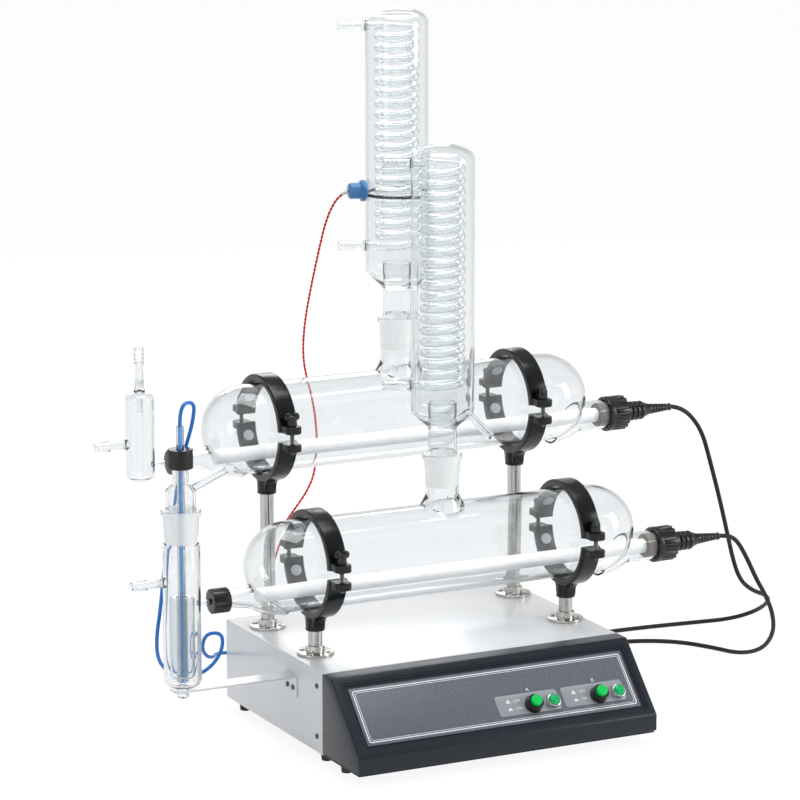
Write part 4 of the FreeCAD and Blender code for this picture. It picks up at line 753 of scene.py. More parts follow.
def case_shell(look):
    """Folded sheet hood, open below and in front."""
    hood = block(CASE_LOW, CASE_HIGH)
    modify(hood, "BEVEL", width=look.case_edge, segments=4, limit_method="ANGLE")
    pick(hood)
    for face in hood.data.polygons:
        middle = face.center / MM
        face.select = middle.z < CASE_LOW.z + 0.1 or middle.y < CASE_LOW.y + 0.1
    for vertex in hood.data.vertices:
        vertex.select = False
    for edge in hood.data.edges:
        edge.select = False
    edit()
    bpy.ops.mesh.select_mode(type="FACE")
    bpy.ops.mesh.delete(type="FACE")
    leave_edit()
    modify(hood, "SOLIDIFY", thickness=CASE_SHEET * MM, offset=-1)
    return finish(hood, "case_hood", BASE, "white_steel", ["base_case"])


def bezel(look):
    """Painted front moulding, with the stepped recess that frames the panel."""
    nose, foot = BEZEL_LOW.y, BEZEL_LOW.z
    back = CASE_LOW.y
    flat = back - BEZEL_FLAT
    lip = foot + BEZEL_LIP
    wall = BEZEL_WALL
    width = BEZEL_HIGH.x - BEZEL_LOW.x
    start = at(BEZEL_LOW.x, 0, 0) @ SIDE_ON
    body = settle(prism([(back, CASE_TOP), (flat, CASE_TOP), (nose, lip), (nose, foot), (back, foot),
                         (back, CASE_TOP)], width), start)
    modify(body, "BEVEL", width=look.bezel_edge, segments=3, limit_method="ANGLE")
    inside = settle(prism([(back + 1, CASE_TOP - wall), (flat + wall * 0.4, CASE_TOP - wall),
                           (nose + wall, lip - wall * 0.4), (nose + wall, foot + wall),
                           (back + 1, foot + wall), (back + 1, CASE_TOP - wall)], width - 2 * wall),
                    at(BEZEL_LOW.x + wall, 0, 0) @ SIDE_ON)
    recess = settle(prism(plate_outline(RECESS[0], RECESS[1], 2.5), 6),
                    on_slope(0, RECESS_TOP + RECESS[1] / 2, -RECESS[2]))
    step = settle(prism(plate_outline(RECESS[0] + 5, RECESS[1] + 5, 4), 6),
                  on_slope(0, RECESS_TOP + RECESS[1] / 2, -0.6))
    wells = []
    for place in SWITCHES:
        wells.append(settle(rod(7.75, -8, 8), on_slope(place, CONTROL_ROW)))
        wells.append(settle(rod(6.05, -8, 8), on_slope(place + LAMP_OFFSET, CONTROL_ROW)))
    carve(body, [inside, recess, step, *wells])
    return finish(body, "bezel_moulding", BASE, "dark_steel", ["front_bezel"])


def panel(look):
    """Flat fascia with its printed double border."""
    middle = PANEL_TOP + PANEL[1] / 2
    sheet = prism(plate_outline(PANEL[0], PANEL[1], 2), PANEL[2])
    soften(sheet, 0.3, 2, 60)
    settle(sheet, on_slope(0, middle, -PANEL[2]))
    wells = []
    for place in SWITCHES:
        wells.append(settle(rod(7.75, -5, 5), on_slope(place, CONTROL_ROW)))
        wells.append(settle(rod(6.05, -5, 5), on_slope(place + LAMP_OFFSET, CONTROL_ROW)))
    carve(sheet, wells)
    finish(sheet, "fascia_sheet", BASE, "panel", ["fascia_panel"])
    line = look.border_line / MM
    borders = []
    for inset, width in ((3.0, line), (3.0 + 2 * line, line * 0.45)):
        outer = prism(plate_outline(PANEL[0] - 2 * inset, PANEL[1] - 2 * inset, 3), 0.12)
        cutter = prism(plate_outline(PANEL[0] - 2 * (inset + width), PANEL[1] - 2 * (inset + width),
                                     3 - width), 1)
        settle(cutter, at(0, 0, -0.4))
        carve(outer, [cutter])
        borders.append(settle(outer, on_slope(0, middle, 0)))
    finish(join(borders), "fascia_border", BASE, "print")


def letters(text, size, x, down, out):
    """Raised print on the panel, its middle at a place."""
    deselect()
    bpy.ops.object.text_add()
    words = bpy.context.object
    words.data.body = text
    words.data.size = size * MM
    words.data.extrude = 0.06 * MM
    words.data.align_x = "CENTER"
    words.data.align_y = "CENTER"
    bpy.ops.object.convert(target="MESH")
    return settle(bpy.context.object, on_slope(x, down, out))


def label_plates():
    """Grey plates behind each switch and lamp, with their generic lettering."""
    plates, prints = [], []
    for place, name in zip(SWITCHES, "AB"):
        plate = prism(plate_outline(73, 24, 3.5), 0.5)
        soften(plate, 0.2, 2, 60)
        well = settle(rod(7.75, -5, 5), at(4.5 if name == "A" else 4.5, 0, 0))
        lamp = settle(rod(6.05, -5, 5), at(4.5 + LAMP_OFFSET, 0, 0))
        carve(plate, [well, lamp])
        plates.append(settle(plate, on_slope(place - 4.5, CONTROL_ROW - 3.5, 0)))
        prints.append(letters(name, 6.0, place, CONTROL_ROW - 19, 0.1))
        for row, word in enumerate(("OFF", "ON")):
            down = CONTROL_ROW - 7.5 + 8.5 * row
            prints.append(letters(word, 4.6, place - 16.5, down, 0.56))
            height = 1.6 if row else 2.8
            foot = prism([(-2.6, -1.6), (2.6, -1.6), (2.6, -0.4), (1.3, -0.4), (1.3, height - 0.4),
                          (-1.3, height - 0.4), (-1.3, -0.4), (-2.6, -0.4), (-2.6, -1.6)], 0.12)
            prints.append(settle(foot, on_slope(place - 27, down, 0.5)))
    finish(join(plates), "label_plates", BASE, "plate")
    finish(join(prints), "panel_lettering", BASE, "print")


def switch_collars():
    """Glossy black collars, each with a well for its push cap and a threaded shank."""
    collars = []
    for place in SWITCHES:
        outline = rounded([(6.15, 5.0), (6.15, 9.5, 0.5), (9.0, 9.5, 1.3), (9.0, 2.0, 0.6),
                           (9.6, 0.5, 0.4), (7.6, 0.5), (7.6, -24.0, 0.6), (0, -24.0)])
        outline = [(0, 2.0), (6.15, 2.0)] + outline
        collars.append(settle(lathe(outline, 48), on_slope(place, CONTROL_ROW)))
    return finish(join(collars), "switch_collars", BASE, "cap_plastic", ["switch_bodies"])


def push_caps():
    """Round caps with a crowned top that slide in their collars."""
    for place, letter in zip(SWITCHES, "ab"):
        outline = rounded([(0, 5.5), (6.0, 5.5, 0.3), (6.0, 13.3, 1.1), (3.5, 13.5, 6), (0, 13.5)])
        cap = settle(lathe(outline, 48), on_slope(place, CONTROL_ROW))
        finish(cap, f"push_cap_{letter}", f"button_{letter}", "green_plastic",
               [f"button_{letter}"])


def lamps():
    """Chromed lamp bezels and their cut lenses."""
    housings, lenses = [], []
    for place in SWITCHES:
        spot = on_slope(place + LAMP_OFFSET, CONTROL_ROW)
        ring = lathe(rounded([(6.25, 5.0), (6.25, 7.0, 0.4), (7.6, 7.0, 0.9), (7.6, 0.5, 0.3), (5.9, 0.5),
                              (5.9, -20.0, 0.5), (0, -20.0)]), 48)
        housings.append(settle(ring, spot))
        deselect()
        bpy.ops.mesh.primitive_cylinder_add(vertices=12, radius=6.2 * MM, depth=2.0 * MM,
                                            location=(0, 0, 6.0 * MM))
        lens = bpy.context.object
        edit()
        bpy.ops.mesh.select_mode(type="FACE")
        bpy.ops.mesh.select_all(action="DESELECT")
        leave_edit()
        for face in lens.data.polygons:
            face.select = face.normal.z > 0.9
        edit()
        for rise, scale in ((2.2, 0.82), (1.0, 0.72)):
            bpy.ops.mesh.extrude_region_move(TRANSFORM_OT_translate={"value": (0, 0, rise * MM)})
            bpy.ops.transform.resize(value=(scale, scale, 1))
        leave_edit()
        pick(lens)
        bpy.ops.object.transform_apply(location=True, rotation=True, scale=True)
        lenses.append(settle(soften(lens, 0.12, 1, 10), spot))
    finish(join(housings), "lamp_bezels", BASE, "chrome", ["lamp_housings"])
    finish(join(lenses), "lamp_jewels", BASE, "green_lens", ["lamp_lenses"], 5)


def screw_model():
    """Pan head screw with a cross recess, its head on z 0 and its shank below."""
    head = lathe(rounded([(0, -6.0), (1.5, -6.0, 0.3), (1.5, 0), (2.8, 0, 0.1), (2.8, 1.4, 1.0), (0, 1.4)]), 24)
    slots = [block((-1.6, -0.3, 0.7), (1.6, 0.3, 3)), block((-0.3, -1.6, 0.7), (0.3, 1.6, 3))]
    return carve(head, slots)


def fasteners():
    """Screws on the flanges, the sides of the case and the bracket."""
    model = screw_model()
    top = CASE_TOP + 3.0
    reach = 14.8 * math.sqrt(0.5)
    on_flanges = [copy_to(model, at(x + across * reach, row["y"] + along * reach, top)
                          @ Matrix.Rotation(0.4 * (across + 2 * along) + x, 4, "Z"))
                  for row in ROWS.values() for x in POST_X for across in BOTH for along in BOTH]
    finish(join(on_flanges), "flange_screw_set", BASE, "flange", ["flange_screws"])
    sides = [copy_to(model, aim(side * CASE_HIGH.x, -108, height, (side, 0, 0)))
             for side in BOTH for height in (84, 30)]
    sides += [copy_to(model, aim(CASE_LOW.x - 2, -48 + side * 6.5, CASE_TOP - 31, (-1, 0, 0)))
              for side in BOTH]
    finish(join(sides), "case_screw_set", BASE, "screw", ["case_screws"])
    bpy.data.objects.remove(model)


def posts():
    """Drawn stainless posts on turned flanges."""
    tubes, flanges = [], []
    for row in ROWS.values():
        rise = row["z"] - CASE_TOP - RING_OUTER - 14.5 + SOCKET_REACH
        for x in POST_X:
            tube = lathe([(POST_BORE, 0), (POST_RADIUS, 0), (POST_RADIUS, rise), (POST_BORE, rise),
                          (POST_BORE, 0)], 48)
            tubes.append(settle(tube, at(x, row["y"], CASE_TOP)))
            flange = lathe(rounded([
                (7.55, 5.0), (7.55, 10.0, 0.3), (10.0, 10.0, 0.8), (10.0, 3.0, 1.0), (19.6, 3.0, 1.1),
                (19.6, 0, 0.4), (7.55, 0), (7.55, 5.0)]), ROUND)
            flanges.append(settle(flange, at(x, row["y"], CASE_TOP)))
    finish(join(tubes), "steel_posts", BASE, "steel", ["support_posts"])
    finish(join(flanges), "turned_flanges", BASE, "flange", ["post_flanges"])


def feet():
    """Tapered rubber feet under the case."""
    pads = []
    for y in (103, -100, -147):
        for side in BOTH:
            foot = lathe(rounded([(0, 0), (5.6, 0, 1.2), (6.5, 9, 1.0), (6.5, 12), (0, 12)]), 32)
            pads.append(settle(foot, at(side * (CASE_HIGH.x - 15), y, 0)))
    return finish(join(pads), "moulded_feet", BASE, "rubber", ["rubber_feet"])


def back_glands():
    """Moulded cable glands and the mains inlet on the back of the case."""
    glands = []
    for x, z in ((-140, 50), (-110, 70), (20, 50), (110, 50), (145, 50)):
        nut = rod(8.5, 0, 6, 6)
        soften(nut, 0.7, 2, 40)
        sleeve = ribbed_cap(5.6, 0.4, 12, 10, 0.6)
        settle(sleeve, at(0, 0, 6))
        stem = rod(6.0, -8, 6.5, 32)
        carve(nut, [stem, sleeve], "UNION")
        glands.append(settle(nut, aim(x, CASE_HIGH.y, z, ALONG_Y)))
    return finish(join(glands), "cable_glands", BASE, "cap_plastic", ["rear_glands"])


class DISTILLER_OT_base(bpy.types.Operator):
    """Model the case, the bezel, the panel with its controls, the posts, the feet and the glands"""
    bl_idname = "distiller.base"
    bl_label = "Base and panel"

    def execute(self, context):
        look = context.scene.distiller_look
        case_shell(look)
        bezel(look)
        panel(look)
        label_plates()
        switch_collars()
        push_caps()
        lamps()
        fasteners()
        posts()
        feet()
        back_glands()
        return {"FINISHED"}


# Clamps

def half_ring(sign):
    """Half of a clamp ring about X, its middle at the origin, with rounded edges."""
    half, soft = RING_WIDTH / 2, 1.6
    start = math.asin(RING_GAP / RING_OUTER)
    outline = rounded([(0, RING_BORE), (half, RING_BORE, 0.6), (half, RING_OUTER, soft),
                       (-half, RING_OUTER, soft), (-half, RING_BORE, 0.6), (0, RING_BORE)])
    pen([(x, radius * math.cos(start), radius * math.sin(start) * sign) for x, radius in outline])
    bpy.ops.mesh.remove_doubles(threshold=MERGE)
    bpy.ops.mesh.spin(steps=48, angle=(2 * start - math.pi) * sign, center=(0, 0, 0), axis=(1, 0, 0))
    bpy.ops.mesh.select_all(action="SELECT")
    bpy.ops.mesh.remove_doubles(threshold=MERGE)
    bpy.ops.mesh.fill_holes(sides=0)
    bpy.ops.mesh.select_all(action="SELECT")
    bpy.ops.mesh.normals_make_consistent(inside=False)
    return leave_edit()


def ear(sign, way, look):
    """Flat ear with a rounded tip, drilled for the hand screw."""
    root = RING_BORE + 2.5
    low = RING_GAP if sign > 0 else -RING_GAP - EAR_THICK
    outline = rounded([(0, root), (EAR_TIP, root), (EAR_TIP, EAR_BOLT + EAR_TIP, EAR_TIP * 0.75),
                       (-EAR_TIP, EAR_BOLT + EAR_TIP, EAR_TIP * 0.75), (-EAR_TIP, root), (0, root)])
    piece = prism(outline if way > 0 else [(x, -y) for x, y in reversed(outline)], EAR_THICK)
    soften(piece, look.clamp_edge / MM * 0.7, 3, 40)
    return settle(piece, at(0, 0, low))


def pads(sign):
    """Silicone discs bonded into the ring, seen through the glass."""
    discs = []
    for angle in ((32, 148) if sign > 0 else (-22, -158)):
        out = Vector((0, math.cos(math.radians(angle)), math.sin(math.radians(angle))))
        disc = lathe(rounded([(0, 0), (6.0, 0.3, 0.5), (6.0, 2.4), (0, 2.4)]), 32)
        spot = out * (DRUM + 0.2)
        discs.append(settle(disc, aim(*spot, out)))
    return discs


def socket(look):
    """Web and post socket under the cradle, blended as one moulding."""
    foot = -RING_OUTER - 14.5
    outline = rounded([(0, foot + 3), (10, foot + 3), (10.5, foot + 12, 14), (39, -38), (33, -28), (-33, -28),
                       (-39, -38), (-10.5, foot + 12, 14), (-10, foot + 3), (0, foot + 3)])
    web = prism(outline, 14)
    soften(web, look.clamp_edge / MM, 3, 50)
    settle(web, at(-7, 0, 0) @ SIDE_ON)
    collar = lathe(rounded([(0, foot), (10.4, foot, 0.8), (10.0, foot + 4, 1), (10.0, foot + 14.5),
                            (0, foot + 18)]), 48)
    return [web, collar]


def clamp(row_name, side_index, sign, look):
    """One half of a clamp on its row: the arch above or the cradle below."""
    row, side = ROWS[row_name], SIDES[side_index]
    ring = half_ring(sign)
    carve(ring, [ear(sign, way, look) for way in BOTH] + (socket(look) if sign < 0 else []), "UNION")
    tools = [settle(rod(DRUM + 2.5, -40, 40, 96), aim(0, 0, 0, ALONG_X))]
    tools += [settle(rod(2.7, -20, 20), at(0, way * EAR_BOLT, 0)) for way in BOTH]
    if sign < 0:
        tools.append(settle(rod(7.55, -100, -RING_OUTER - 14.5 + SOCKET_REACH, 48), at(0, 0, 0)))
    carve(ring, tools)
    count = len(ring.data.polygons)
    whole = join([ring, *pads(sign)])
    settle(whole, at(POST_X[side_index], row["y"], row["z"]))
    part = "arch" if sign > 0 else "cradle"
    body = f"{row_name}_{side}_arch" if sign > 0 else BASE
    finish(whole, f"{row_name}_{side}_{part}_moulding", body,
           ["black_plastic", "pad"], [f"{row_name}_{side}_{part}"])
    for index, face in enumerate(whole.data.polygons):
        face.material_index = 1 if index >= count else 0


def wing_screw_model(look):
    """Hand screw: a threaded steel stud in a moulded head with two ball lobes."""
    start, end, pitch = -30.5, 5.0, 0.9
    outline = [(0, start), (1.7, start)]
    turns = int((end - start) / pitch)
    for turn in range(turns):
        outline += [(2.4, start + (turn + 0.5) * pitch), (2.05, start + (turn + 1) * pitch)]
    outline += [(2.05, end), (0, end)]
    stud = lathe(outline, 20)
    hub = lathe(rounded([(0, 0), (4.9, 0, 0.5), (4.6, 9.5, 1.2), (3.2, 11.0, 1.0), (0, 11.0)]), 32)
    for way in BOTH:
        deselect()
        bpy.ops.mesh.primitive_uv_sphere_add(segments=24, ring_count=16, radius=4.3 * MM,
                                             location=(way * 4.2 * MM, 0, 10.0 * MM),
                                             scale=(1, 0.62, 1))
        lobe = bpy.context.object
        bpy.ops.object.transform_apply(location=True, rotation=True, scale=True)
        carve(hub, [lobe], "UNION")
    head_faces = len(hub.data.polygons)
    whole = join([hub, stud])
    return whole, head_faces


class DISTILLER_OT_clamps(bpy.types.Operator):
    """Model the eight clamp halves with their pads, and the eight hand screws"""
    bl_idname = "distiller.clamps"
    bl_label = "Clamps"

    def execute(self, context):
        look = context.scene.distiller_look
        model, head_faces = wing_screw_model(look)
        for row_name, row in ROWS.items():
            for index, side in enumerate(SIDES):
                for sign in (-1, 1):
                    clamp(row_name, index, sign, look)
                for way, end in ((-1, "front"), (1, "rear")):
                    top = row["z"] + RING_GAP + EAR_THICK
                    spin = Matrix.Rotation(0.35 + 0.9 * index + way * 0.4, 4, "Z")
                    screw = copy_to(model, at(POST_X[index], row["y"] + way * EAR_BOLT, top) @ spin)
                    name = f"{row_name}_{side}_{end}_screw"
                    finish(screw, name.replace("screw", "wing"), name,
                           ["cap_plastic", "stud"], [name])
                    for place, face in enumerate(screw.data.polygons):
                        face.material_index = 0 if place < head_faces else 1
        bpy.data.objects.remove(model)
        return {"FINISHED"}


# Boilers

def drum_outline(inset):
    """From pole to pole: a ball end, the straight wall in short lengths, and the other ball end."""
    radius, quarter, rings = DRUM - inset, 12, 36
    points = []
    for step in range(quarter + 1):
        angle = math.pi / 2 * (step / quarter - 1)
        points.append((radius * math.cos(angle), -DRUM_HALF + radius * math.sin(angle)))
    for ring in range(1, rings):
        points.append((radius, DRUM_HALF * (2 * ring / rings - 1)))
    for step in range(quarter + 1):
        angle = math.pi / 2 * step / quarter
        points.append((radius * math.cos(angle), DRUM_HALF + radius * math.sin(angle)))
    points[0], points[-1] = (0, points[0][1]), (0, points[-1][1])
    return points


def boiler(row_name):
    """Blown glass drum with a ground socket, a funnel inlet and a neck for the heater."""
    row = ROWS[row_name]
    axis = row["z"]
    low = -PORT_DROP
    neck_top = row["collar"] - axis
    inlet_end = -DRUM_HALF - INLET_ROOT - INLET_TAPER - INLET_LENGTH
    neck_end = DRUM_HALF + NECK_START + NECK_LENGTH

    def solids(inset, past):
        drum = settle(lathe(drum_outline(inset), 96), aim(0, 0, 0, ALONG_X))
        inlet = lathe(rounded([
            (0, DRUM_HALF + 8), (24 - inset, DRUM_HALF + 8), (20 - inset, DRUM_HALF + 32, 10),
            (12.5 - inset, DRUM_HALF + 46, 24), (8.3 - inset, DRUM_HALF + 70, 30),
            (8.3 - inset, -inlet_end + past), (0, -inlet_end + past)]), 48)
        settle(inlet, aim(0, 0, low, -ALONG_X))
        neck = lathe(rounded([
            (0, DRUM_HALF + 8), (26 - inset, DRUM_HALF + 8), (22 - inset, DRUM_HALF + 30, 8),
            (16 - inset, DRUM_HALF + 44, 16), (16 - inset, neck_end + past), (0, neck_end + past)]), 64)
        settle(neck, aim(0, 0, low, ALONG_X))
        return [drum, inlet, neck]

    foot = JOINT_FOOT + WALL
    tower = lathe(rounded([
        (0, 30), (30, 36), (25, 44, 4), (foot, 58, 12), (foot, neck_top - JOINT_LENGTH, 2),
        (JOINT + WALL, neck_top - 5.5, 0.5), (21.3, neck_top - 5.5, 1.2), (21.3, neck_top, 2.2),
        (JOINT, neck_top, 0.3), (0, neck_top)]), 64)
    bore = lathe([
        (0, 28), (26, 28), (20, 42), (JOINT_FOOT - 0.3, 54), (JOINT_FOOT - 0.3, neck_top - JOINT_LENGTH),
        (JOINT_FOOT, neck_top - JOINT_LENGTH), (JOINT, neck_top), (JOINT, neck_top + 1), (0, neck_top + 1)], 64)
    flask = vessel(solids(0, 0) + [tower], solids(WALL, 1) + [bore])
    settle(flask, at(row["x"], row["y"], axis))
    finish(flask, f"{row_name}_boiler_flask", BASE, ["glass", "ground"],
           [f"{row_name}_boiler_glass"], 50)
    centre = Vector((row["x"], row["y"], 0))

    def ground(middle, normal):
        """The lapped cone inside the socket."""
        out = Vector((middle.x, middle.y, 0)) - centre
        return (row["collar"] - JOINT_LENGTH + 0.5 < middle.z < row["collar"] - 0.5
                and out.length < JOINT + 0.5 and normal.dot(out) < 0)

    paint(flask, 1, ground)


def heater(row_name):
    """White quartz tube along the bottom of the drum, with a closed round end."""
    row = ROWS[row_name]
    end = DRUM_HALF + NECK_START + NECK_LENGTH - 9.5
    tube = lathe(rounded([(0, -218), (8, -218, 7.5), (8, -150), (8, -75), (8, 0), (8, 75), (8, 150),
                          (8, end), (0, end)]), 48)
    settle(tube, aim(row["x"], row["y"], row["z"] - PORT_DROP, ALONG_X))
    finish(tube, f"{row_name}_quartz_heater", BASE, "quartz", [f"{row_name}_heater_tube"])


def heater_fittings(row_name):
    """Screw nut, rubber stopper, ridged gland and ribbed strain relief on the heater's neck."""
    row = ROWS[row_name]
    end = DRUM_HALF + NECK_START + NECK_LENGTH
    start = end - 15.5
    place = aim(row["x"], row["y"], row["z"] - PORT_DROP, ALONG_X)
    grip = settle(ribbed_cap(17.6, 1.5, 16, 18.5, 0.9), at(0, 0, start + 6.5))
    flange = settle(rod(19.5, 0, 7.5, 64, 1.6), at(0, 0, start))
    carve(grip, [flange], "UNION")
    carve(grip, [rod(16.3, start - 1, end + 4.3, 64), rod(10.7, start, start + 30, 48)])
    settle(grip, place)
    finish(grip, f"{row_name}_grip_nut", f"{row_name}_heater_nut", "cap_plastic",
           [f"{row_name}_heater_nut"])
    out = start + 25.05
    outline = [(0, end - 26), (13.5, end - 26, 1.0), (13.5, end, 0.2), (16, end, 0.2), (16, end + 4, 0.3),
               (10.4, end + 4), (10.4, out), (10.9, out, 0.4), (10.9, out + 6, 0.8)]
    for ridge in range(3):
        foot = out + 6 + ridge * 6
        outline += [(9.2, foot + 0.6, 0.6), (9.2, foot + 2.0, 0.6), (10.7, foot + 2.6, 0.8),
                    (10.7 - ridge * 0.3, foot + 5.4, 0.8)]
    outline += [(8.6, out + 25.5, 1), (6.6, out + 31, 2)]
    for ridge in range(6):
        foot = out + 33 + ridge * 4
        radius = 5.9 - ridge * 0.36
        outline += [(radius, foot, 0.4), (radius, foot + 2.4, 0.4), (radius - 0.9, foot + 2.7, 0.3),
                    (radius - 0.9, foot + 3.7, 0.3)]
    outline += [(3.6, out + 57.4, 0.3), (4.2, out + 58.5, 0.8), (4.2, out + 60.6, 0.8), (2.5, out + 61),
                (0, out + 61)]
    head = settle(lathe(rounded(outline, 3), 48), place)
    finish(head, f"{row_name}_gland_and_relief", BASE, ["cap_plastic", "stopper"],
           [f"{row_name}_heater_head"], 40)
    seal = row["x"] + end
    paint(head, 1, lambda middle, normal: middle.x < seal)


class DISTILLER_OT_boilers(bpy.types.Operator):
    """Model the two glass boilers with their heaters, nuts and glands"""
    bl_idname = "distiller.boilers"
    bl_label = "Boilers"

    def execute(self, context):
        for row_name in ROWS:
            boiler(row_name)
            heater(row_name)
            heater_fittings(row_name)
        return {"FINISHED"}


# Condensers

def hose_outline(length, radius=HOSE_TIP, core=HOSE_CORE):
    """Side outline of a hose connection with tapered ridges at its free end."""
    start = length - HOSE_RIDGES * HOSE_PITCH
    points = [(0, 0), (core + 1.4, 0), (core, 5, 3), (core, start)]
    for ridge in range(HOSE_RIDGES):
        foot = start + ridge * HOSE_PITCH
        points += [(radius, foot + 0.5, 0.5), (core, foot + HOSE_PITCH - 0.2, 0.6)]
    points += [(core - 0.4, length, 0.6), (0, length)]
    return rounded(points, 3)


def coil_rise():
    """Height between the two hose connections of a condenser."""
    bend, radius = 6.0, COIL_RADIUS
    turn = math.acos(bend / (radius + bend))
    angle = math.atan2(bend * math.sin(turn), radius + bend - bend * math.cos(turn))
    slope = math.atan2(COIL_PITCH, 2 * math.pi * radius)
    return (COIL_TURNS - angle / math.pi) * COIL_PITCH + 2 * bend * turn * math.tan(slope / 2)


def condenser(row_name):
    """Glass jacket with a domed head, an inner stem, a ground cone, hose connections and an outlet."""
    row = ROWS[row_name]
    collar = row["collar"]
    cone_foot = collar + row["stem"]
    shoulder = cone_foot + SHOULDER
    low_hose = shoulder + JACKET_FOOT
    high_hose = low_hose + coil_rise()
    tip = high_hose + JACKET_HEAD
    foot = collar - JOINT_LENGTH
    plug, plug_foot = JOINT - 0.3, JOINT_FOOT - 0.3
    slant = math.atan2(SHOULDER, JACKET - STEM)
    lift = THIN_WALL / math.cos(slant)
    straight = [(JACKET, shoulder + part * (tip - DOME_DEPTH - shoulder)) for part in (0.8, 0.6, 0.4, 0.2)]
    outside = dome(JACKET, tip, DOME_DEPTH, DOME_KNUCKLE) + straight + rounded([
        (JACKET, shoulder + 20), (JACKET, shoulder, 9), (STEM, cone_foot, 7), (STEM, collar + 3, 2),
        (plug, collar, 0.6), (plug_foot, foot, 0.7), (0, foot)])
    bore = JACKET - THIN_WALL
    inside = dome(bore, tip - THIN_WALL, DOME_DEPTH - THIN_WALL, DOME_KNUCKLE - THIN_WALL)
    inside += [(bore, height) for _, height in straight]
    inside += rounded([
        (bore, shoulder + 20), (bore, shoulder + lift - THIN_WALL * math.tan(slant), 8),
        (STEM, cone_foot + lift, 1.5), (STEM, shoulder + STEM_RISE, 0.7),
        (STEM_BORE, shoulder + STEM_RISE, 0.7), (STEM_BORE, foot - 1), (0, foot - 1)])
    outers, inners = [lathe(outside, 80)], [lathe(inside, 80)]
    out = heading(HOSE_AZIMUTH)
    root = JACKET - THIN_WALL / 2
    for height in (low_hose, high_hose):
        spot = out * root
        outers.append(settle(lathe(hose_outline(30 + THIN_WALL / 2), 40), aim(spot.x, spot.y, height, out)))
        inners.append(settle(rod(HOSE_BORE, 0, 40), aim(spot.x, spot.y, height, out)))
        inners.append(settle(rod(COIL_TUBE + 0.05, -3, 2), aim(spot.x, spot.y, height, out)))
    fall = heading(0, -45)
    spot = Vector((STEM + 14, 0, cone_foot + 14 * math.tan(slant)))
    stub = lathe(rounded([(0, -1), (4.3, -1), (4.3, 41.1, 1.1), (0, 41.1)], 4), 32)
    outers.append(settle(stub, aim(*spot, fall)))
    inners.append(settle(rod(2.9, -3, 44), aim(*spot, fall)))
    body = vessel(outers, inners)
    settle(body, at(row["x"], row["y"], 0))
    finish(body, f"{row_name}_condenser_jacket", row["body"], ["glass", "ground"],
           [f"{row_name}_condenser_glass"], 50)
    centre = Vector((row["x"], row["y"], 0))

    def ground(middle, normal):
        """The lapped cone on the outside of the plug."""
        side = Vector((middle.x, middle.y, 0)) - centre
        return foot + 0.5 < middle.z < collar - 0.3 and normal.dot(side) > 0 and side.length > STEM_BORE + 0.5

    paint(body, 1, ground)
    return low_hose, high_hose


def coil(row_name, low_hose, high_hose, wall):
    """Glass spiral of one unbroken tube between the two hose connections."""
    row = ROWS[row_name]
    each = 24
    bend = 14.0
    first, last = HOSE_AZIMUTH + bend, HOSE_AZIMUTH - bend + 360 * COIL_TURNS
    out = heading(HOSE_AZIMUTH)
    points = [out * radius + Vector((0, 0, low_hose)) for radius in (33.4, 30.0, 26.5, 22.6)]
    steps = int((last - first) / 360 * each)
    rise = (high_hose - low_hose) / (last - first)
    for step in range(steps + 1):
        angle = first + (last - first) * step / steps
        points.append(heading(angle) * COIL_RADIUS + Vector((0, 0, low_hose + (angle - first) * rise)))
    points += [out * radius + Vector((0, 0, high_hose)) for radius in (22.6, 26.5, 30.0, 33.4)]
    centre = Vector((row["x"], row["y"], 0))
    spiral = route(f"{row_name}_spiral", [point + centre for point in points], 2 * COIL_TUBE)
    spiral.data.splines[0].resolution_u = 2
    spiral.data.bevel_resolution = 4
    spiral.data.use_fill_caps = False
    pick(spiral)
    bpy.ops.object.convert(target="MESH")
    spiral = bpy.context.object
    modify(spiral, "SOLIDIFY", thickness=wall, offset=-1)
    finish(spiral, f"{row_name}_glass_spiral", row["body"], "coil_glass",
           [f"{row_name}_condenser_coil"], 60)


class DISTILLER_OT_condensers(bpy.types.Operator):
    """Model the two condensers, each a jacket with the glass spiral inside it"""
    bl_idname = "distiller.condensers"
    bl_label = "Condensers"

    def execute(self, context):
        for row_name in ROWS:
            low_hose, high_hose = condenser(row_name)
            coil(row_name, low_hose, high_hose, context.scene.distiller_look.coil_wall)
        return {"FINISHED"}


# Thermostat

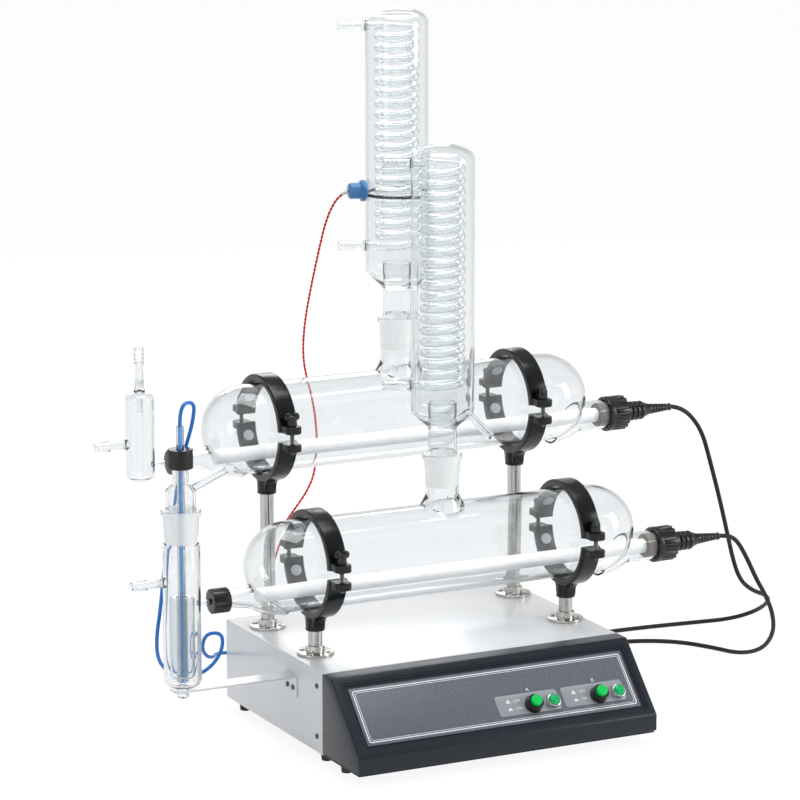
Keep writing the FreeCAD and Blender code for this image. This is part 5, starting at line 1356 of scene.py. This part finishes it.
class DISTILLER_OT_thermostat(bpy.types.Operator):
    """Model the thermostat and the strap that holds it on the back condenser"""
    bl_idname = "distiller.thermostat"
    bl_label = "Thermostat"

    def execute(self, context):
        row, height = ROWS["back"], 564.0
        out = heading(167)
        foot = Vector((row["x"], row["y"], height)) + out * 35.25
        body = lathe(rounded([(0, 0), (11.6, 0, 0.5), (11.6, 4.5, 1.2), (8.8, 5.2, 0.6), (8.6, 16.5, 1.4),
                              (6.4, 18, 0.8), (0, 18)]), 48)
        wing = prism(plate_outline(34, 13, 5.5), 2.5)
        soften(wing, 0.5, 2, 50)
        holes = [settle(rod(1.9, -2, 5, 24), at(way * 13.2, 0, 0)) for way in BOTH]
        carve(wing, holes)
        carve(body, [wing], "UNION")
        across = heading(167 + 90)
        turn = Matrix((across, Vector((0, 0, 1)), out)).transposed().to_4x4()
        settle(body, at(*foot) @ turn)
        finish(body, "thermostat_body", BASE, "blue_plastic", ["thermostat"])
        start, ahead = (Vector(point) for point in THERMOSTAT_WIRE[:2])
        sleeve = lathe(rounded([(1.45, 4), (1.45, 0.4, 0.2), (2.1, 0.2, 0.4), (2.1, 7.5, 0.4), (1.45, 7.5, 0.2),
                                (1.45, 4)]), SMALL_ROUND)
        settle(sleeve, aim(*start, ahead - start))
        finish(sleeve, "wire_sleeve", BASE, "sleeve")
        strands = []
        for start in (0, math.pi):
            curve = bpy.data.curves.new("strap", "CURVE")
            curve.dimensions = "3D"
            spline = curve.splines.new("POLY")
            count = 360
            spline.points.add(count - 1)
            for step, control in enumerate(spline.points):
                turn = 2 * math.pi * step / count
                twist = start + 26 * turn
                radius = 34.5 + 0.35 * math.cos(twist)
                spot = heading(math.degrees(turn)) * radius
                control.co = (*((Vector((row["x"], row["y"], height - 4 + 1.1 * math.sin(twist))) + spot) * MM), 1)
            spline.use_cyclic_u = True
            curve.bevel_depth = 0.8 * MM
            curve.bevel_resolution = 2
            piece = bpy.data.objects.new("strap", curve)
            bpy.context.scene.collection.objects.link(piece)
            pick(piece)
            bpy.ops.object.convert(target="MESH")
            strands.append(bpy.context.object)
        finish(join(strands), "twisted_strap", BASE, "rubber", ["thermostat_strap"], 60)
        return {"FINISHED"}


# Level devices

def ridged_hose(x, y, z, length, towards):
    """Solid of a hose connection from a point in a direction."""
    return settle(lathe(hose_outline(length), 40), aim(x, y, z, towards))


def level_cup():
    """Constant level cup: a rounded jar with a feed tube through its top and a drain at its side."""
    x, y = CUP_AXIS
    low, top, tip = 276.0, 373.0, 420.0
    port_height = ROWS["back"]["z"] - PORT_DROP

    def jar(inset):
        radius = 15.5 - inset
        bowl = dome(radius, low + inset, -(9 - inset), 6 - inset)
        head = dome(radius, top - inset, 9 - inset, 6 - inset)
        return lathe(bowl + [(radius, low + 30), (radius, low + 55)] + head[::-1], 64)

    outers = [jar(0), ridged_hose(-13.7, 0, 317, 38.8, -ALONG_X),
              settle(lathe(rounded([(0, 0), (6.2, 0), (6.2, 6, 1), (HOSE_CORE, 12, 4), (HOSE_CORE, 20),
                                    (0, 20)]), 40), at(0, 0, top - 7)),
              ridged_hose(0, 0, top - 2, tip - top + 2, (0, 0, 1)),
              settle(rod(3.2, 0, 40), aim(0, 0, port_height, ALONG_X))]
    inners = [jar(THIN_WALL), settle(rod(HOSE_BORE, 0, 60), aim(-10, 0, 317, -ALONG_X)),
              settle(rod(1.8, 0, 42), aim(0, 0, port_height, ALONG_X))]
    cup = vessel(outers, inners)
    drop = rod(HOSE_CORE, 358, top - 1, 40)
    carve(cup, [drop], "UNION")
    carve(cup, [rod(HOSE_BORE, 350, tip + 2, 40)])
    settle(cup, at(x, y, 0))
    finish(cup, "constant_level_cup", BASE, "glass", ["level_cup"], 50)


def float_chamber():
    """Float chamber with a ground socket on top, a drain bump below, a hose connection and a port."""
    x, y = CONTROLLER_AXIS
    foot, collar = 82.3, 272.0
    socket_foot = collar - JOINT_LENGTH
    outer_foot = JOINT_FOOT + THIN_WALL

    def chamber(inset):
        radius = 19.6 - inset
        walls = [(radius, height) for height in (120, 160, 200)]
        points = dome(radius, foot + inset, -(11 - inset), 8 - inset) + walls
        if inset:
            points += [(radius, socket_foot - 3), (JOINT_FOOT, socket_foot), (JOINT, collar),
                       (JOINT, collar + 1), (0, collar + 1)]
        else:
            points += rounded([(radius, 220), (radius, socket_foot - 2, 3), (outer_foot, socket_foot + 1, 2),
                               (JOINT + THIN_WALL, collar - 5.5, 0.5), (21.3, collar - 5.5, 1.2),
                               (21.3, collar, 2.2), (JOINT, collar, 0.3), (0, collar)])
        return lathe(points, 64)

    def drain(inset):
        tip = foot - 11 + inset
        points = dome(6.4 - inset, tip, -(4 - inset), 3 - inset)
        return lathe(points + [(6.4 - inset, foot + 4), (0, foot + 4)], 40)

    port_height = ROWS["front"]["z"] - PORT_DROP
    outers = [chamber(0), drain(0), ridged_hose(-17.8, 0, 197, 38.8, -ALONG_X),
              settle(rod(3.2, 0, 40), aim(0, 0, port_height, ALONG_X))]
    inners = [chamber(THIN_WALL), drain(THIN_WALL), settle(rod(HOSE_BORE, 0, 60), aim(-14, 0, 197, -ALONG_X)),
              settle(rod(1.8, 0, 42), aim(0, 0, port_height, ALONG_X))]
    body = vessel(outers, inners)
    settle(body, at(x, y, 0))
    finish(body, "float_chamber", BASE, ["glass", "ground"], ["controller_tube"], 50)
    centre = Vector((x, y, 0))

    def ground(middle, normal):
        side = Vector((middle.x, middle.y, 0)) - centre
        return socket_foot + 0.5 < middle.z < collar - 0.5 and side.length < JOINT + 0.5 and normal.dot(side) < 0

    paint(body, 1, ground)


def chamber_head():
    """Glass head with a ground cone below, a slanted vent and a threaded neck above."""
    x, y = CONTROLLER_AXIS
    collar, shoulder, top = 272.0, 293.0, 333.0
    foot = collar - JOINT_LENGTH
    plug, plug_foot = JOINT - 0.3, JOINT_FOOT - 0.3
    bore = plug_foot - THIN_WALL
    neck_foot = shoulder + 15.7 - 8.5
    body = lathe(rounded([
        (0, foot), (plug_foot, foot, 0.6), (plug, collar, 0.6), (15.7, collar + 3, 1.5), (15.7, shoulder, 5),
        (8.5, neck_foot, 4), (8.5, top, 0.6), (0, top)]), 64)
    lean = Vector((43, 0, 18)).normalized()
    start = Vector((0, 0, shoulder - 5)) + lean * (bore - THIN_WALL)
    vent = settle(rod(5.0, 0, 43, 32, 0.7), aim(*start, lean))
    inner = lathe(rounded([
        (0, foot - 1), (bore, foot - 1), (bore, shoulder, 4), (8.5 - THIN_WALL, neck_foot, 3),
        (8.5 - THIN_WALL, top + 1), (0, top + 1)]), 64)
    vent_bore = settle(rod(3.4, -1, 46), aim(*start, lean))
    head = vessel([body, vent], [inner, vent_bore])
    settle(head, at(x, y, 0))
    finish(head, "float_chamber_head", BASE, ["glass", "ground"], ["controller_head"], 50)
    centre = Vector((x, y, 0))

    def ground(middle, normal):
        side = Vector((middle.x, middle.y, 0)) - centre
        return foot + 0.5 < middle.z < collar - 0.3 and normal.dot(side) > 0 and side.length > bore + 0.5

    paint(head, 1, ground)


def screw_cap(name, body, node, place, length, neck, hole):
    """Ribbed black cap with a cavity for the neck and a hole through its end."""
    cap = ribbed_cap(12.3, 0.8, 20, length, 0.7)
    carve(cap, [rod(neck, 2.5, length + 1, 48), rod(hole, -1, length + 1, 32)])
    settle(cap, place)
    finish(cap, name, body, "cap_plastic", [node])


class DISTILLER_OT_level_devices(bpy.types.Operator):
    """Model the level cup, the float controller with its sensor and float, their caps and the bracket"""
    bl_idname = "distiller.level_devices"
    bl_label = "Level devices"

    def execute(self, context):
        level_cup()
        float_chamber()
        chamber_head()
        x, y = CONTROLLER_AXIS
        for row_name, node in (("back", "cup_port_cap"), ("front", "controller_port_cap")):
            row = ROWS[row_name]
            end = row["x"] - DRUM_HALF - INLET_ROOT - INLET_TAPER - INLET_LENGTH - 2
            screw_cap(f"{node}_moulding", node, node,
                      aim(end, row["y"], row["z"] - PORT_DROP, ALONG_X), 19, 8.6, 3.5)
        screw_cap("head_cap_moulding", "head_cap", "head_cap", aim(x, y, 335.5, (0, 0, -1)), 20, 8.8, 4.3)
        guide = lathe(rounded([(0, 88), (4, 88, 1.5), (4, 89.5, 0.3), (6.5, 90.2, 1.2), (6.5, 94.0, 1.2),
                               (4, 94.2, 0.3), (4, 359.5, 0.4), (3, 359.5, 0.4), (3, 89.2, 0.8),
                               (0, 89.2)]), 40)
        finish(settle(guide, at(x, y, 0)), "sensor_guide", BASE, "glass", ["guide_tube"], 50)
        sensor = lathe(rounded([(0, 89.5), (2.2, 89.5, 1.2), (2.2, 250), (2.2, 359.4), (0, 359.4)]), 24)
        finish(settle(sensor, at(x, y, 0)), "sensor_rod", BASE, "sensor_blue", ["level_sensor"])
        low = 94.5
        ring = lathe(rounded([(4.6, low + 40), (4.6, low, 0.8), (13, low, 4), (13, low + 86.5, 5),
                              (4.6, low + 86.5, 0.8), (4.6, low + 40)]), 64)
        hollow = lathe(rounded([(5.8, low + 40), (5.8, low + 1.2, 0.8), (11.8, low + 1.2, 3),
                                (11.8, low + 85.3, 4), (5.8, low + 85.3, 0.8), (5.8, low + 40)]), 64)
        carve(ring, [hollow])
        finish(settle(ring, at(x, y, 0)), "ring_float", "level_float", "float", ["level_float"], 50)
        self.bracket()
        return {"FINISHED"}

    def bracket(self):
        """Painted strip from the side of the case to the drain bump of the float chamber."""
        x, y = CONTROLLER_AXIS
        top = 82.0
        arm = prism(rounded([(0, -11), (40, -11), (130, -11), (130, 11), (-12.3, 11, 6), (-12.3, -11, 6), (0, -11)]), 2)
        settle(arm, at(x, y, top - 2))
        keep = block((-400, -100, 0), (CASE_LOW.x, 50, 200))
        modify(arm, "BOOLEAN", operation="INTERSECT", object=keep, solver="EXACT")
        bpy.data.objects.remove(keep)
        flange = block((CASE_LOW.x - 2, y - 14, top - 22), (CASE_LOW.x, y + 14, top))
        carve(arm, [flange], "UNION")
        carve(arm, [settle(rod(7.0, -6, 6), at(x, y, top))])
        soften(arm, 0.4, 2, 40)
        finish(arm, "controller_bracket", BASE, "white_steel", ["level_bracket"])


# Nodes that keep their own shape

class DISTILLER_OT_finishes(bpy.types.Operator):
    """Give the nodes that keep their own shape a finish"""
    bl_idname = "distiller.finishes"
    bl_label = "Finishes on the frame"

    def execute(self, context):
        for node, finish_name in (("bottom_plate", "dark_steel"), ("control_board", "board")):
            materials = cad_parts[node].data.materials
            materials.clear()
            materials.append(FINISHES[finish_name])
        return {"FINISHED"}


# Stage

def soft_box(name, spot, width, height, power, target=(0, 0, 0.32)):
    """A soft rectangular lamp aimed at the middle of the object."""
    lamp = bpy.data.lights.new(name, "AREA")
    lamp.shape = "RECTANGLE"
    lamp.size, lamp.size_y, lamp.energy = width, height, power
    holder = bpy.data.objects.new(name, lamp)
    bpy.context.scene.collection.objects.link(holder)
    holder.location = spot
    holder.rotation_euler = (Vector(target) - Vector(spot)).to_track_quat("-Z", "Y").to_euler()


def studio_world():
    """White surroundings, with a darker band above for what reflects and softer light for what is matt."""
    world = bpy.data.worlds.new("studio")
    world.use_nodes = True
    bpy.context.scene.world = world
    tree = world.node_tree
    tree.nodes.clear()
    rays = add_node(tree, "ShaderNodeLightPath")
    sky = add_node(tree, "ShaderNodeTexCoord")
    parts = add_node(tree, "ShaderNodeSeparateXYZ", {"Vector": sky.outputs["Generated"]})
    ramp = add_node(tree, "ShaderNodeValToRGB", {"Fac": parts.outputs["Z"]})
    ramp.color_ramp.elements[0].position = 0.1
    ramp.color_ramp.elements[0].color = (0.95, 0.95, 0.95, 1)
    ramp.color_ramp.elements[1].position = 0.45
    ramp.color_ramp.elements[1].color = (0.22, 0.225, 0.235, 1)
    crown = ramp.color_ramp.elements.new(0.9)
    crown.color = (0.55, 0.56, 0.58, 1)
    matt = add_node(tree, "ShaderNodeBackground", {"Color": (0.96, 0.98, 1, 1), "Strength": 0.42})
    mirrored = add_node(tree, "ShaderNodeBackground", {"Color": ramp.outputs["Color"], "Strength": 1.0})
    white = add_node(tree, "ShaderNodeBackground", {"Color": (1, 1, 1, 1), "Strength": 1.0})
    seen = add_node(tree, "ShaderNodeMath", {0: rays.outputs["Is Camera Ray"],
                                             1: rays.outputs["Is Transmission Ray"]}, operation="MAXIMUM")
    first = add_node(tree, "ShaderNodeMixShader", {"Fac": rays.outputs["Is Glossy Ray"],
                                                   1: matt.outputs[0], 2: mirrored.outputs[0]})
    second = add_node(tree, "ShaderNodeMixShader", {"Fac": seen.outputs[0], 1: first.outputs[0],
                                                    2: white.outputs[0]})
    add_node(tree, "ShaderNodeOutputWorld", {"Surface": second.outputs[0]})


def pale_floor():
    """Wide pale floor that shows white and keeps a faint shadow of the object."""
    deselect()
    bpy.ops.mesh.primitive_plane_add(size=24)
    floor = bpy.context.object
    floor.name = "studio_floor"
    material = bpy.data.materials.new("pale_floor")
    material.use_nodes = True
    tree = material.node_tree
    tree.nodes.clear()
    rays = add_node(tree, "ShaderNodeLightPath")
    seen = add_node(tree, "ShaderNodeMath", {0: rays.outputs["Is Camera Ray"],
                                             1: rays.outputs["Is Transmission Ray"]}, operation="MAXIMUM")
    mirrored = add_node(tree, "ShaderNodeMath", {0: seen.outputs[0], 1: rays.outputs["Is Glossy Ray"]},
                        operation="MAXIMUM")
    share = add_node(tree, "ShaderNodeMath", {0: mirrored.outputs[0], 1: 0.8}, operation="MULTIPLY")
    matt = add_node(tree, "ShaderNodeBsdfDiffuse", {"Color": (0.88, 0.88, 0.88, 1)})
    glow = add_node(tree, "ShaderNodeEmission", {"Color": (1, 1, 1, 1), "Strength": 1.13})
    mixed = add_node(tree, "ShaderNodeMixShader", {"Fac": share.outputs[0], 1: matt.outputs[0],
                                                   2: glow.outputs[0]})
    add_node(tree, "ShaderNodeOutputMaterial", {"Surface": mixed.outputs[0]})
    floor.data.materials.append(material)


class DISTILLER_OT_stage(bpy.types.Operator):
    """Set up the camera, the soft boxes, the pale floor and the surroundings"""
    bl_idname = "distiller.stage"
    bl_label = "Stage"

    def execute(self, context):
        scene = context.scene
        lens = bpy.data.cameras.new("camera")
        lens.lens, lens.sensor_width = 177.0, 36.0
        lens.clip_end = 60
        camera = bpy.data.objects.new("camera", lens)
        scene.collection.objects.link(camera)
        camera.location = (-1.8643, -3.6317, 1.2300)
        camera.rotation_euler = (math.radians(77.81), 0, math.radians(-26.87))
        scene.camera = camera
        scene.view_settings.view_transform = "Standard"
        scene.cycles.max_bounces = 40
        scene.cycles.transmission_bounces = 40
        scene.cycles.transparent_max_bounces = 40
        studio_world()
        pale_floor()
        soft_box("top_box", (0.1, 0.1, 2.3), 1.5, 1.3, 28)
        soft_box("right_box", (1.9, -1.6, 1.1), 0.7, 1.5, 22)
        soft_box("left_box", (-2.3, -0.9, 0.9), 0.8, 1.4, 5)
        soft_box("back_box", (0.6, 2.3, 1.3), 1.4, 0.9, 12)
        return {"FINISHED"}


class DISTILLER_PT_panel(bpy.types.Panel):
    """Lists the steps that build the distiller's looks"""
    bl_idname = "DISTILLER_PT_panel"
    bl_label = "Distiller"
    bl_space_type = "VIEW_3D"
    bl_region_type = "UI"
    bl_category = "Distiller"

    def draw(self, context):
        look = context.scene.distiller_look
        for name in look.bl_rna.properties.keys():
            if name not in ("rna_type", "name"):
                self.layout.prop(look, name)
        for step in STEPS:
            self.layout.operator(step.bl_idname)


STEPS = (
    DISTILLER_OT_stage,
    DISTILLER_OT_cords,
    DISTILLER_OT_base,
    DISTILLER_OT_clamps,
    DISTILLER_OT_boilers,
    DISTILLER_OT_condensers,
    DISTILLER_OT_thermostat,
    DISTILLER_OT_level_devices,
    DISTILLER_OT_finishes,
)
CLASSES = (DistillerLook, *STEPS, DISTILLER_PT_panel)


def register():
    for kind in CLASSES:
        bpy.utils.register_class(kind)
    bpy.types.Scene.distiller_look = PointerProperty(type=DistillerLook)


def unregister():
    del bpy.types.Scene.distiller_look
    for kind in reversed(CLASSES):
        bpy.utils.unregister_class(kind)


def main():
    register()
    FINISHES.update(make_materials(bpy.context.scene.distiller_look))
    bpy.ops.distiller.stage()
    bpy.ops.distiller.cords()
    bpy.ops.distiller.base()
    bpy.ops.distiller.clamps()
    bpy.ops.distiller.boilers()
    bpy.ops.distiller.condensers()
    bpy.ops.distiller.thermostat()
    bpy.ops.distiller.level_devices()
    bpy.ops.distiller.finishes()


if __name__ == "__main__":
    main()
